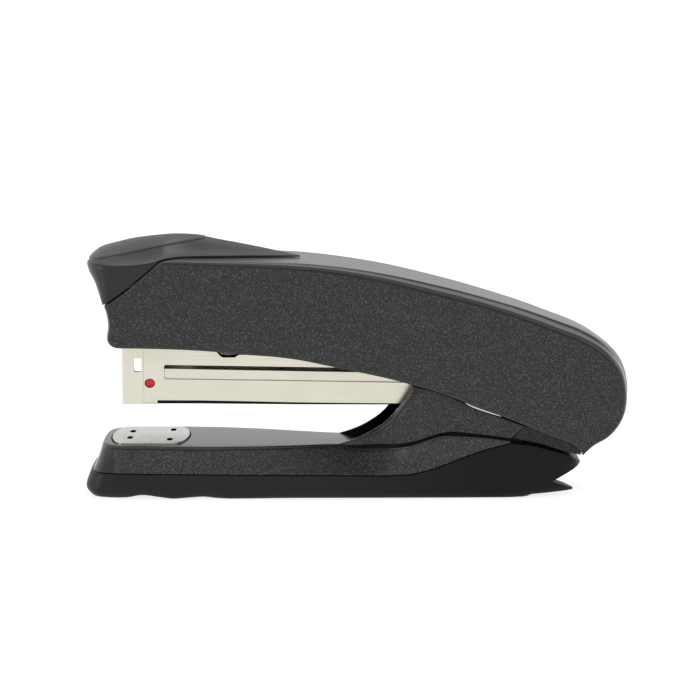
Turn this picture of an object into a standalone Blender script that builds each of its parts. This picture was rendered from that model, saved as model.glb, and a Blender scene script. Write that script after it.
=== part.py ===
"""Desktop stapler, built as separate pieces.

All design dimensions are in millimetres; new_object() turns them into metres.
Frame: origin at the bottom centre of the box, nose at -X, heel at +X, +Z up.
"""
import math

import bmesh
import bpy
from mathutils import Vector

MM = 0.001
GAP = 0.3                 # clearance between neighbouring pieces

# ---- driving dimensions -------------------------------------------------
PIVOT_X = 52.0            # common pivot of the magazine and the handle
PIVOT_Z = 28.0
PIN_R = 2.0
BORE_R = PIN_R + GAP

HANDLE_HALF = 16.6        # half width over the handle's side walls
HANDLE_WALL = 1.6
FLANK_OUT = 14.6          # rear housing side, just inside the handle walls
FLANK_IN = 13.2
EAR_OUT = 11.8            # steel ears of the base channel
EAR_IN = 10.6
LEVER_OUT = 9.6           # steel lever inside the handle
LEVER_IN = 8.6
CASE_OUT = 7.9            # outer magazine channel
CASE_IN = 7.4
TRAY_OUT = 7.1            # sliding staple drawer
TRAY_IN = 6.6
STAPLE_HALF = 6.3         # half of a staple's crown
LEG = 0.6                 # thickness of staple legs and pusher walls
RAIL_OUT = 5.4            # rail that the staples straddle
SHEET = 0.5               # steel sheet of the magazine

HEAD_X = -64.7            # front face of the magazine
HEAD_BACK = -58.95
CASE_X = -58.7
FLOOR_Z = 24.6            # underside of the magazine
HEAD_TOP = 40.2
CROWN_Z = 31.5            # top of the staples
DRIVER_Z = 32.3           # lower edge of the driver blade at rest
DRIVER_HALF = 6.2
DRIVER_REACH = 115.5      # the blade is an arc of this radius about the pivot
DRIVER_TOP = 52.15        # flange of the blade, under the lever's web
TRAY_TOP = 34.7           # drawer walls
TRAY_TAIL_TOP = 32.6      # lower rear end of those walls
TRAY_END = 42.0
RAIL_TOP = 30.7
RAIL_END = 30.3
ROD_Z = 28.4              # rod that guides the pusher's spring
PUSHER_BACK = -46.0
WIRE_R = 0.3              # pusher spring's wire

ANVIL_X = -57.5
ANVIL_Z = 14.5

RIVET_XS = (-57.5, -52.0)
RIVET_HOLE = 1.3
SCREW_XS = (-12.0, 22.0)
BASE_SCREW_XS = (-38.0, 4.0, 34.0)
FEET = ((-64.0, -10.5), (-64.0, 10.5), (44.0, -10.5), (44.0, 10.5))
FOOT_R = 4.0
EYE_R = 5.5               # round ends of the steel parts about the pivot

COLOURS = {
    "textured": ((0.055, 0.058, 0.058), 0.55, 0.0),
    "satin": ((0.06, 0.063, 0.062), 0.35, 0.0),
    "black": ((0.02, 0.021, 0.02), 0.45, 0.0),
    "steel": ((0.66, 0.65, 0.62), 0.28, 1.0),
    "nickel": ((0.78, 0.76, 0.7), 0.2, 1.0),
    "spring": ((0.5, 0.5, 0.5), 0.3, 1.0),
    "red": ((0.62, 0.04, 0.03), 0.4, 0.0),
    "nylon": ((0.72, 0.71, 0.66), 0.5, 0.0),
    "rubber": ((0.015, 0.015, 0.015), 0.8, 0.0),
}


# ---- tools --------------------------------------------------------------
def clear_scene():
    for obj in list(bpy.data.objects):
        bpy.data.objects.remove(obj, do_unlink=True)


def material(name, kind):
    colour, roughness, metallic = COLOURS[kind]
    mat = bpy.data.materials.new(name + "_material")
    mat.use_nodes = True
    shader = mat.node_tree.nodes["Principled BSDF"]
    shader.inputs["Base Color"].default_value = (*colour, 1.0)
    shader.inputs["Roughness"].default_value = roughness
    shader.inputs["Metallic"].default_value = metallic
    return mat


def new_object(name, bm, kind=None, parent=None):
    """Make an object from a bmesh in millimetres; without a kind it is a cutter."""
    bmesh.ops.recalc_face_normals(bm, faces=bm.faces)
    if bm.calc_volume(signed=True) < 0:
        bmesh.ops.reverse_faces(bm, faces=bm.faces)
    origin = parent.location if parent else Vector((0, 0, 0))
    for vert in bm.verts:
        vert.co = vert.co * MM - origin
    mesh = bpy.data.meshes.new(name)
    bm.to_mesh(mesh)
    bm.free()
    obj = bpy.data.objects.new(name, mesh)
    bpy.context.scene.collection.objects.link(obj)
    if parent:
        obj.parent = parent
    if kind:
        mesh.materials.append(material(name, kind))
    else:
        obj.hide_render = True
        obj.display_type = "WIRE"
    return obj


def axis_empty(name, x, y, z):
    """Empty on a joint's axis; the pieces that move about it hang from it."""
    empty = bpy.data.objects.new(name, None)
    empty.location = (x * MM, y * MM, z * MM)
    bpy.context.scene.collection.objects.link(empty)
    return empty


def loft(rings):
    """Closed body through rings of equal length."""
    bm = bmesh.new()
    rows = [[bm.verts.new(point) for point in ring] for ring in rings]
    count = len(rows[0])
    for low, high in zip(rows, rows[1:]):
        for i in range(count):
            j = (i + 1) % count
            bm.faces.new((low[i], low[j], high[j], high[i]))
    bm.faces.new(rows[0][::-1])
    bm.faces.new(rows[-1])
    return bm


def plate_xz(outline, y0, y1):
    return loft([[(x, y, z) for x, z in outline] for y in (y0, y1)])


def plate_xy(outline, z0, z1):
    return loft([[(x, y, z) for x, y in outline] for z in (z0, z1)])


def bar_x(section, x0, x1):
    return loft([[(x, y, z) for y, z in section] for x in (x0, x1)])


def box(x0, x1, y0, y1, z0, z1):
    return plate_xy([(x0, y0), (x1, y0), (x1, y1), (x0, y1)], z0, z1)


def circle(cx, cy, radius, sides):
    step = 2 * math.pi / sides
    return [(cx + radius * math.cos(i * step), cy + radius * math.sin(i * step))
            for i in range(sides)]


def arc(cx, cy, radius, start, end, steps):
    """Points on an arc, angles in degrees."""
    angles = [math.radians(start + (end - start) * i / steps) for i in range(steps + 1)]
    return [(cx + radius * math.cos(a), cy + radius * math.sin(a)) for a in angles]


def turned(x, y, profile, sides=16):
    """Body of revolution about a vertical axis; profile is (z, radius) from the bottom."""
    return loft([[(px, py, z) for px, py in circle(x, y, r, sides)] for z, r in profile])


def rod_y(x, z, radius, y0, y1, sides=16):
    return plate_xz(circle(x, z, radius, sides), y0, y1)


def rod_x(y, z, radius, x0, x1, sides=10):
    return bar_x(circle(y, z, radius, sides), x0, x1)


def tube_along(points, radius, sides=4):
    """Round wire along 3-D points."""
    points = [Vector(p) for p in points]
    rings = []
    normal = Vector((0.13, 0.31, 0.94))
    for i, point in enumerate(points):
        ahead = points[min(i + 1, len(points) - 1)]
        behind = points[max(i - 1, 0)]
        tangent = (ahead - behind).normalized()
        side = tangent.cross(normal).normalized()
        normal = side.cross(tangent)
        rings.append([point + side * (radius * math.cos(a)) + normal * (radius * math.sin(a))
                      for a in (2 * math.pi * k / sides for k in range(sides))])
    return loft(rings)


def ribbon(path, thickness, y0, y1):
    """Bent sheet strip: a path in x and z, given a thickness, as wide as y0 to y1."""
    lower = offset(path, -thickness / 2)
    upper = offset(path, thickness / 2)
    return plate_xz(lower + upper[::-1], y0, y1)


def offset(path, distances):
    """Move a path in x and z to its left by one distance, or one for each point."""
    if not isinstance(distances, list):
        distances = [distances] * len(path)
    moved = []
    for i, (x, z) in enumerate(path):
        xa, za = path[max(i - 1, 0)]
        xb, zb = path[min(i + 1, len(path) - 1)]
        length = math.hypot(xb - xa, zb - za)
        moved.append((x - (zb - za) / length * distances[i], z + (xb - xa) / length * distances[i]))
    return moved


def smooth(points):
    """Monotone cubic through (x, value) points, as a function of x."""
    xs = [p[0] for p in points]
    vs = [p[1] for p in points]
    slopes = [(vs[i + 1] - vs[i]) / (xs[i + 1] - xs[i]) for i in range(len(xs) - 1)]
    tangents = [slopes[0]]
    for a, b in zip(slopes, slopes[1:]):
        tangents.append(0.0 if a * b <= 0 else 2 * a * b / (a + b))
    tangents.append(slopes[-1])

    def value(x):
        x = min(max(x, xs[0]), xs[-1])
        i = max(k for k in range(len(xs) - 1) if xs[k] <= x)
        step = xs[i + 1] - xs[i]
        t = (x - xs[i]) / step
        return (vs[i] * (1 + 2 * t) * (1 - t) ** 2 + tangents[i] * step * t * (1 - t) ** 2
                + vs[i + 1] * t * t * (3 - 2 * t) + tangents[i + 1] * step * t * t * (t - 1))

    return value


def joined(name, bodies, kind, parent=None):
    """Union of several overlapping bodies."""
    obj = new_object(name, bodies[0], kind, parent)
    for i, body in enumerate(bodies[1:]):
        combine(obj, new_object(f"{name}_add_{i}", body), "UNION")
    return obj


def combine(obj, tool, operation):
    modifier = obj.modifiers.new(operation.title(), "BOOLEAN")
    modifier.operation = operation
    modifier.solver = "EXACT"
    modifier.object = tool


def cut(obj, *bodies):
    for i, body in enumerate(bodies):
        combine(obj, new_object(f"{obj.name}_cut_{i}", body), "DIFFERENCE")


def both_sides(inner, outer):
    """The two y spans of a pair of side plates."""
    return ((-outer, -inner), (inner, outer))


# ---- outlines of the handle ---------------------------------------------
# Front edge of the side wall, from its lower corner to the nose cap's seam.
FRONT_EDGE = ([(-65.5, 41.2)] + arc(-65.6, 44.0, 2.7, 240, 180, 2)
              + [(-68.4, 47.0), (-68.8, 50.0), (-69.3, 52.8)])
# Deck under the nose cap, then the flat top, then the round heel down to the chin.
DECK = [(-67.6, 53.6), (-64.8, 55.4), (-60.3, 59.0), (-55.3, 63.2), (-53.4, 64.7)]
TOP = [(-50.5, 65.2), (-40.0, 65.1), (-26.0, 64.8), (-16.0, 64.3), (-5.0, 63.3), (6.4, 61.5),
       (20.0, 58.5), (29.0, 56.1), (37.5, 53.5), (46.0, 50.7), (54.8, 47.5), (61.3, 45.0)]
HEEL = [(66.0, 42.6), (69.6, 39.8), (72.6, 36.0), (74.5, 31.6), (75.2, 27.0), (74.5, 22.0),
        (72.2, 16.9), (69.0, 13.3), (65.2, 10.9), (62.4, 10.3)]
LOWER_EDGE = [(61.4, 11.6), (59.0, 14.6), (45.9, 20.2), (38.8, 23.4), (15.1, 30.9),
              (11.0, 32.1), (-5.8, 36.3), (-19.6, 38.8), (-34.5, 39.5), (-56.1, 41.0)]
TOP_LINE = smooth([(-69.3, 52.8)] + DECK + TOP)


def slab(path, lower, half, radii):
    """Wall-to-wall body under a path, its long edges rounded by a radius at each point."""
    steps = 3
    bm = bmesh.new()
    rows = []
    for k in range(steps + 1):
        angle = math.pi / 2 * k / steps
        line = offset(path, [-r * (1 - math.sin(angle)) for r in radii])
        ys = [half - r * (1 - math.cos(angle)) for r in radii]
        rows.append([(x, y, z) for (x, z), y in zip(line, ys)])
    rings = []
    for i in range(len(path)):
        one_side = [rows[k][i] for k in range(steps + 1)]
        ring = one_side + [(x, -y, z) for x, y, z in one_side[::-1]]
        rings.append([bm.verts.new(p) for p in ring])
    for a, b in zip(rings, rings[1:]):
        for k in range(len(a) - 1):
            bm.faces.new((a[k], a[k + 1], b[k + 1], b[k]))
    near = [bm.verts.new((x, half, z)) for x, z in lower]
    far = [bm.verts.new((x, -half, z)) for x, z in lower]
    for i in range(len(lower) - 1):
        bm.faces.new((near[i], near[i + 1], far[i + 1], far[i]))
    bm.faces.new(rings[0] + [far[-1], near[-1]])
    bm.faces.new(rings[-1] + [far[0], near[0]])
    bm.faces.new([r[0] for r in rings] + near)
    bm.faces.new([r[-1] for r in rings] + far)
    return bm


def make_handle_shell(parent):
    path = FRONT_EDGE + DECK + TOP + HEEL
    radii = ([1.6] * len(FRONT_EDGE) + [0.8] * len(DECK) + [2.0] * (len(TOP) - 2) + [2.6, 3.6]
             + [5.0, 6.0, 6.5, 6.5, 6.5, 6.5, 6.0, 5.0, 3.0, 1.5])
    obj = new_object("handle_shell", slab(path, LOWER_EDGE, HANDLE_HALF, radii), "textured", parent)
    inner = offset(path[3:-3], -HANDLE_WALL)
    inner = [(inner[0][0], 30.0)] + inner
    below = [(59.0, 5.0), (45.0, 12.0), (10.0, 25.0), (-30.0, 30.0)]
    inner_radii = [0.8] * (len(inner) - 9) + [3.0] * 9
    cut(obj, slab(inner, below, HANDLE_HALF - HANDLE_WALL, inner_radii))


# ---- nose cap -----------------------------------------------------------
CAP_HALF = smooth([(-73.9, 8.0), (-73.3, 12.0), (-72.0, 14.6), (-69.0, 15.9), (-60.0, 16.2),
                   (-54.0, 15.6), (-51.5, 13.0), (-46.5, 9.0), (-35.0, 6.2), (-26.0, 3.8),
                   (-15.8, 0.8)])
CAP_PEAK = smooth([(-73.9, 64.7), (-73.0, 66.2), (-70.9, 67.3), (-66.5, 68.8), (-62.0, 69.7),
                   (-55.0, 70.6), (-50.0, 70.9), (-44.5, 70.6), (-38.0, 69.4), (-32.0, 68.2),
                   (-26.0, 66.9), (-15.8, 64.8)])
CAP_CREASE = smooth([(-73.9, 63.9), (-66.0, 63.8), (-55.0, 64.8), (-50.0, 65.8), (-15.8, 64.7)])
CAP_UNDER = smooth([(-73.9, 63.3), (-73.3, 62.6), (-72.0, 60.6), (-71.0, 58.2), (-70.2, 55.4),
                    (-69.7, 53.4)])
INSERT_HALF = smooth([(-73.2, 6.0), (-72.0, 8.2), (-68.0, 8.6), (-58.0, 7.0), (-50.0, 5.2),
                      (-44.0, 3.2), (-42.0, 1.4)])


def cap_height(x, y):
    """Height of the nose cap's crowned top."""
    across = min(abs(y) / CAP_HALF(x), 1.0)
    bell = 0.5 + 0.5 * math.cos(math.pi * across)
    return CAP_CREASE(x) + (CAP_PEAK(x) - CAP_CREASE(x)) * bell


def cap_ring(x):
    half = CAP_HALF(x)
    under = CAP_UNDER(x) if x < -69.0 else TOP_LINE(x) + GAP
    across = [-1.0, -0.75, -0.5, -0.25, 0.0, 0.25, 0.5, 0.75, 1.0]
    crown = [(x, half * a, cap_height(x, half * a)) for a in across]
    return [(x, -half, under)] + crown + [(x, half, under)]


def insert_ring(x, side_gap, under, over):
    half = INSERT_HALF(x) + side_gap
    across = [-1.0, -0.5, 0.0, 0.5, 1.0]
    top = [(x, half * a, cap_height(x, half * a) + over) for a in across]
    low = [(x, half * a, cap_height(x, half * a) - under) for a in across[::-1]]
    return top + low


def make_nose(parent):
    stations = [-73.9, -73.3, -72.0, -71.0, -69.6, -67.6, -64.8, -60.3, -55.3, -53.4, -51.5,
                -49.0, -46.5, -41.0, -35.0, -26.0, -15.8]
    cap = new_object("nose_cap", loft([cap_ring(x) for x in stations]), "satin", parent)
    places = [-72.6, -71.0, -68.0, -62.0, -56.0, -50.0, -45.0, -42.4]
    recess = loft([insert_ring(x, GAP, 1.5, 2.0) for x in [-76.0] + places[1:-1] + [-41.9]])
    cut(cap, recess)
    new_object("nose_insert", loft([insert_ring(x, 0.0, 1.2, 0.2) for x in places]),
               "satin", parent)


# ---- lever and driver ---------------------------------------------------
LEVER_TOP = [(-60.2, 51.5), (-20.0, 52.3), (15.0, 50.5), (38.0, 44.5), (49.0, 36.5)]


def lever_outline():
    around = arc(PIVOT_X, PIVOT_Z, EYE_R, 55, -105, 6)
    return LEVER_TOP + around + [(36.0, 36.5), (10.0, 42.5), (-20.0, 44.0), (-60.2, 44.5)]


def make_lever(parent):
    inside = 1.0
    body = plate_xz(lever_outline(), -LEVER_OUT, LEVER_OUT)
    lever = new_object("handle_lever", body, "steel", parent)
    hollow = offset(LEVER_TOP, -inside)
    hollow = [(-66.0, hollow[0][1])] + hollow[1:] + [(70.0, 28.0), (70.0, 0.0), (-66.0, 20.0)]
    cut(lever, plate_xz(hollow, -LEVER_IN, LEVER_IN),
        rod_y(PIVOT_X, PIVOT_Z, BORE_R, -20, 20),
        *[turned(x, 0, [(45, RIVET_HOLE), (60, RIVET_HOLE)], 10) for x in RIVET_XS + SCREW_XS])


def make_driver(parent):
    """Blade that follows an arc about the pivot, with a flange on the lever's web."""
    step = 4.6
    blade = []
    for i in range(4):
        rise = DRIVER_Z - PIVOT_Z + i * step
        blade.append((PIVOT_X - math.sqrt(DRIVER_REACH ** 2 - rise ** 2), PIVOT_Z + rise))
    path = blade + [(-61.9, 50.6), (-61.3, 51.8), (-60.2, DRIVER_TOP), (-49.0, DRIVER_TOP + 0.2)]
    body = ribbon(path, SHEET, -DRIVER_HALF, DRIVER_HALF)
    driver = new_object("driver_blade", body, "steel", parent)
    cut(driver, *[turned(x, 0, [(45, RIVET_HOLE), (60, RIVET_HOLE)], 10) for x in RIVET_XS])
    for i, x in enumerate(RIVET_XS):
        profile = [(49.5, 1.9), (50.2, 1.9), (50.2, 1.0), (52.8, 1.0), (52.8, 1.9), (53.3, 1.4)]
        new_object(f"driver_rivet_{i + 1}", turned(x, 0, profile, 10), "steel", parent)
    for i, x in enumerate(SCREW_XS):
        web = smooth(LEVER_TOP)(x)
        profile = [(web - 4.2, 2.0), (web - 2.6, 2.0), (web - 2.6, 1.0), (web + 5.0, 1.0)]
        new_object(f"handle_screw_{i + 1}", turned(x, 0, profile, 10), "steel", parent)


def make_handle_tail(parent):
    """Lower rear shell that closes the handle under the pivot."""
    inner_top = [(46.5, 19.9), (59.6, 14.0), (61.0, 11.4)]
    outer = [(42.4, 16.9), (50.0, 15.0), (57.5, 12.4), (61.6, 10.7)]
    body = plate_xz(outer + inner_top[::-1], -FLANK_OUT, FLANK_OUT)
    tail = new_object("handle_tail", body, "textured", parent)
    hollow = [(38.0, 16.9), (50.0, 16.4), (57.0, 13.9), (57.0, 26.0), (38.0, 26.0)]
    cut(tail, plate_xz(hollow, -FLANK_IN, FLANK_IN), box(38.0, 49.8, -12.4, 12.4, 10, 20))


# ---- magazine -----------------------------------------------------------
SLOT_LOW = 30.5
SLOT_HIGH = 35.6
SLOT_X0 = -53.3
SLOT_X1 = 9.0
DOT_X = -57.0
DOT_Z = 30.5


def make_case(parent):
    around = arc(PIVOT_X, PIVOT_Z, EYE_R, -110, 90, 6)
    outline = ([(CASE_X, FLOOR_Z + 0.8), (40.0, FLOOR_Z + 0.4)] + around
               + [(40.0, 38.4), (-38.0, 38.4), (-40.5, 41.2), (CASE_X, 41.2)])
    case = new_object("magazine_case", plate_xz(outline, -CASE_OUT, CASE_OUT), "nickel", parent)
    under_web = [(-70.0, 10.0), (70.0, 10.0), (70.0, 37.9), (-38.2, 37.9), (-38.2, 50.0),
                 (-70.0, 50.0)]
    radius = (SLOT_HIGH - SLOT_LOW) / 2
    middle = (SLOT_HIGH + SLOT_LOW) / 2
    slot = arc(SLOT_X0 + radius, middle, radius, 90, 270, 5) + [(SLOT_X1, SLOT_LOW),
                                                              (SLOT_X1, SLOT_HIGH)]
    cut(case, plate_xz(under_web, -CASE_IN, CASE_IN), plate_xz(slot, -20, 20),
        rod_y(DOT_X, DOT_Z, 1.35, -20, 20), rod_y(PIVOT_X, PIVOT_Z, BORE_R, -20, 20))
    block = box(43.0, 46.3, -TRAY_OUT, TRAY_OUT, 26.2, 34.4)
    new_object("magazine_end_block", block, "nylon", parent)
    bush = new_object("pivot_bush", rod_y(PIVOT_X, PIVOT_Z, 3.6, -7.1, 7.1), "nylon", parent)
    cut(bush, rod_y(PIVOT_X, PIVOT_Z, BORE_R, -20, 20))
    catch = [(26.0, 37.5), (41.0, 37.1), (42.7, 35.6)]
    new_object("drawer_catch", ribbon(catch, 0.4, -2.5, 2.5), "spring", parent)


def make_drawer():
    """Drawer that carries the staples: front head, two walls and a floor."""
    floor_front = -62.7
    wall_front = HEAD_X + 0.3
    wall = [(wall_front, FLOOR_Z), (TRAY_END, FLOOR_Z), (TRAY_END, TRAY_TAIL_TOP),
            (27.0, TRAY_TAIL_TOP), (24.0, TRAY_TOP), (wall_front, TRAY_TOP)]
    parts = [box(HEAD_X, HEAD_X + 0.6, -CASE_OUT, CASE_OUT, FLOOR_Z, HEAD_TOP),
             box(floor_front, TRAY_END, -TRAY_OUT, TRAY_OUT, FLOOR_Z, FLOOR_Z + SHEET)]
    for y0, y1 in both_sides(CASE_IN, CASE_OUT):
        parts.append(box(HEAD_X, HEAD_BACK, y0, y1, FLOOR_Z, HEAD_TOP))
    for y0, y1 in both_sides(TRAY_IN, TRAY_OUT):
        parts.append(plate_xz(wall, y0, y1))
    for y0, y1 in both_sides(TRAY_IN, CASE_OUT):
        parts.append(box(HEAD_X + 0.2, HEAD_BACK, y0, y1, FLOOR_Z, FLOOR_Z + SHEET))
    drawer = joined("staple_drawer", parts, "nickel")
    window = box(-61.3, -59.3, -20, 20, 33.6, 37.4)
    cut(drawer, window, rod_y(DOT_X, DOT_Z, 1.5, -20, 20))
    return drawer


def make_rail():
    low = FLOOR_Z + SHEET + GAP
    inner = RAIL_OUT - LEG
    section = [(-RAIL_OUT, low), (RAIL_OUT, low), (RAIL_OUT, RAIL_TOP), (inner, RAIL_TOP),
               (inner, low + SHEET), (-inner, low + SHEET), (-inner, RAIL_TOP),
               (-RAIL_OUT, RAIL_TOP)]
    new_object("staple_rail", bar_x(section, -62.6, RAIL_END), "steel")
    rod_end = RAIL_END + 0.7
    new_object("guide_rod", rod_x(0, ROD_Z, 0.8, -61.0, rod_end), "steel")
    block = box(RAIL_END + 0.4, RAIL_END + 3.6, -6.2, 6.2, 25.5, 31.9)
    block = new_object("rail_end_block", block, "nylon")
    cut(block, rod_x(0, ROD_Z, 1.1, 20, rod_end + 0.5))


def arch(outer, low, high, wall):
    """Section of an inverted channel."""
    inner = outer - wall
    return [(-outer, low), (-outer, high), (outer, high), (outer, low), (inner, low),
            (inner, high - wall), (-inner, high - wall), (-inner, low)]


def make_staples():
    section = arch(STAPLE_HALF, FLOOR_Z + SHEET + GAP, CROWN_Z, LEG * 0.8)
    new_object("staple_strip", bar_x(section, -62.9, -58.7), "steel")


def make_pusher(parent):
    top = 32.0
    flag = bar_x(arch(STAPLE_HALF, 28.4, top, LEG), -58.4, -55.5)
    new_object("indicator_flag", flag, "red", parent)
    low = FLOOR_Z + SHEET + GAP
    inner = RAIL_OUT - LEG - GAP
    parts = [bar_x(arch(STAPLE_HALF, low, top, LEG), -55.2, PUSHER_BACK),
             box(-52.0, PUSHER_BACK, -inner, inner, 26.4, top - 0.2)]
    pusher = joined("pusher", parts, "spring", parent)
    cut(pusher, rod_x(0, ROD_Z, 1.15, -60, -40))


def helix(turns, radius, start, end, steps, axis):
    """Points of a coil along x or z."""
    points = []
    for i in range(turns * steps + 1):
        along = start[0] + (end - start[0]) * i / (turns * steps)
        a = 2 * math.pi * i / steps
        u = radius * math.cos(a)
        v = radius * math.sin(a)
        if axis == "x":
            points.append((along, start[1] + u, start[2] + v))
        else:
            points.append((start[1] + u, start[2] + v, along))
    return points


def make_springs():
    coil = helix(20, 1.75, (PUSHER_BACK + 0.7, 0, ROD_Z), RAIL_END - WIRE_R, 9, "x")
    new_object("pusher_spring", tube_along(coil, WIRE_R), "spring")
    coil = helix(4, 3.2, (2.9, ANVIL_X, 0), 10.8, 10, "z")
    new_object("anvil_spring", tube_along(coil, 0.35), "spring")
    bow = [(14.0, 14.1), (22.0, 14.4), (29.0, 19.0), (35.0, 23.2), (39.5, 23.6)]
    new_object("magazine_return_spring", ribbon(bow, SHEET, -4.5, 4.5), "spring")
    bow = [(-39.4, 39.4), (-37.6, 38.75), (-30.0, 38.75), (-18.0, 40.8), (-5.0, 47.0),
           (3.0, 49.3), (10.0, 49.2)]
    new_object("handle_return_spring", ribbon(bow, 0.4, -4.0, 4.0), "spring")


# ---- base ---------------------------------------------------------------
SHOE_HALF = smooth([(-75.2, 9.0), (-74.2, 13.2), (-72.0, 16.0), (-68.0, 17.7), (-60.0, 18.4),
                    (-20.0, 18.2), (20.0, 17.6), (45.0, 16.8), (58.0, 15.4), (61.0, 14.0)])
SHOE_UNDER = smooth([(-75.2, 2.6), (-74.2, 1.2), (-71.0, 0.5), (-63.6, 0.55), (-58.6, 1.25),
                     (-54.4, 0.7), (-50.2, 0.0), (-46.5, 0.5), (-41.9, 1.0), (-38.5, 0.4),
                     (-34.5, 0.0), (-15.6, 0.5), (45.0, 0.5), (59.1, 1.9), (61.0, 2.0)])
SEAM = smooth([(-75.2, 6.2), (-73.2, 7.0), (-67.4, 7.2), (-29.2, 6.6), (8.9, 7.0),
               (17.1, 8.0), (27.9, 10.3), (42.0, 14.0)])
TAIL_TOP = smooth([(42.0, 15.3), (50.0, 13.7), (57.8, 11.9), (61.0, 10.4)])
EDGE_HALF = smooth([(-72.2, 7.0), (-71.4, 10.5), (-70.0, 12.6), (-66.0, 14.0), (-50.0, 14.2),
                    (-16.0, 12.4), (-4.0, 13.6), (6.0, 15.8), (42.0, 15.8)])
EDGE_Z = smooth([(-72.2, 13.6), (-70.0, 13.9), (-50.0, 13.8), (-4.0, 13.4), (11.6, 13.8),
                 (17.1, 14.9), (23.9, 16.9), (33.0, 16.5), (41.6, 15.4)])
FLOOR = 2.2


def shoe_ring(x):
    half = SHOE_HALF(x)
    under = SHOE_UNDER(x)
    top = SEAM(x) if x <= 42.0 else TAIL_TOP(x)
    return [(x, half - 1.2, under), (x, half, under + 1.4), (x, half - 0.8, top),
            (x, 0.8 - half, top), (x, -half, under + 1.4), (x, 1.2 - half, under)]


def make_shoe():
    xs = [-75.2, -74.2, -72.0, -68.0, -63.6, -58.6, -54.4, -50.2, -46.5, -41.9, -38.5, -34.5,
          -15.0, 9.0, 17.0, 28.0, 41.99, 42.01, 50.0, 57.8, 61.0]
    shoe = new_object("base_shoe", loft([shoe_ring(x) for x in xs]), "black")
    wall = 2.4
    tray = []
    for x in (-71.5, -68.0, -60.0, -20.0, 20.0, 46.2):
        half = SHOE_HALF(x) - wall
        tray.append([(x, half, FLOOR), (x, half, 30), (x, -half, 30), (x, -half, FLOOR)])
    notch = [(53.3, 4.7), (59.2, 2.15), (59.2, -3.0), (66.0, -3.0), (66.0, 14.4)]
    holes = [turned(ANVIL_X, 0, [(-2, 6.0), (4, 6.0)])]
    holes += [turned(x, 0, [(-2, 2.8), (4, 2.8)], 12) for x in BASE_SCREW_XS]
    holes += [turned(x, y, [(-2, FOOT_R + GAP), (1.4, FOOT_R + GAP)]) for x, y in FEET]
    cut(shoe, loft(tray), plate_xz(notch, -25, 25), *holes)


def make_feet_and_screws():
    for (x, y), name in zip(FEET, ("front_left", "front_right", "rear_left", "rear_right")):
        profile = [(0.0, FOOT_R - 0.3), (0.3, FOOT_R), (1.1, FOOT_R)]
        new_object(f"foot_{name}", turned(x, y, profile), "rubber")
    for i, x in enumerate(BASE_SCREW_XS):
        profile = [(0.9, 2.5), (2.5, 2.5), (2.5, 1.1), (7.5, 1.1)]
        new_object(f"base_screw_{i + 1}", turned(x, 0, profile, 12), "steel")


def cover_ring(x, wall, z_low=None):
    half = EDGE_HALF(x) - wall
    low = SEAM(x) + GAP if z_low is None else z_low
    edge = EDGE_Z(x) - wall
    foot = max(SHOE_HALF(x) - 1.0 - wall, half)
    crown = 0.35 if x < 0 else 0.0
    return [(x, -foot, low), (x, -half, edge), (x, 0.8 - half, edge + crown),
            (x, half - 0.8, edge + crown), (x, half, edge), (x, foot, low)]


def make_cover():
    xs = [-72.6, -71.4, -70.0, -66.0, -50.0, -33.0, -16.0, -4.0, 6.0, 11.6, 17.1, 23.9, 33.0, 41.6]
    cover = new_object("base_cover", loft([cover_ring(x, 0.0) for x in xs]), "textured")
    inner = [-70.6, -69.4, -66.0, -50.0, -33.0, -16.0, -4.0, 6.0, 17.1, 23.9, 33.0, 46.0]
    cut(cover, loft([cover_ring(x, 1.6, 0.0) for x in inner]),
        box(-3.6, 60, -15.0, 15.0, -5, 40),
        turned(ANVIL_X, 0, [(5, 2.4), (20, 2.4)]))


def make_frame():
    """Steel channel in the base, with ears that hold the pivot pin."""
    low = FLOOR + 0.6
    heel = 45.7
    parts = [box(-67.5, heel, -EAR_OUT, EAR_OUT, low, low + 1.2)]
    around = arc(PIVOT_X, PIVOT_Z, EYE_R, 170, -50, 6)
    ear = ([(-67.5, low), (-67.5, 7.6), (38.0, 7.6), (41.0, 16.0)] + around
           + [(48.5, 18.0), (heel, 15.6), (heel, low)])
    for y0, y1 in both_sides(EAR_IN, EAR_OUT):
        parts.append(plate_xz(ear, y0, y1))
    frame = joined("base_frame", parts, "steel")
    cut(frame, rod_y(PIVOT_X, PIVOT_Z, PIN_R + GAP, -20, 20),
        turned(ANVIL_X, 0, [(0, 6.3), (6, 6.3)]),
        *[turned(x, 0, [(0, 1.5), (6, 1.5)], 10) for x in BASE_SCREW_XS])


def make_pivot():
    new_object("pivot_pin", rod_y(PIVOT_X, PIVOT_Z, PIN_R, -12.9, 12.9), "steel")
    for (y0, y1), name in zip(both_sides(EAR_OUT + GAP, EAR_OUT + 0.9), ("left", "right")):
        clip = new_object(f"pivot_clip_{name}", rod_y(PIVOT_X, PIVOT_Z, 3.6, y0, y1), "spring")
        cut(clip, rod_y(PIVOT_X, PIVOT_Z, BORE_R, -20, 20))


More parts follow.
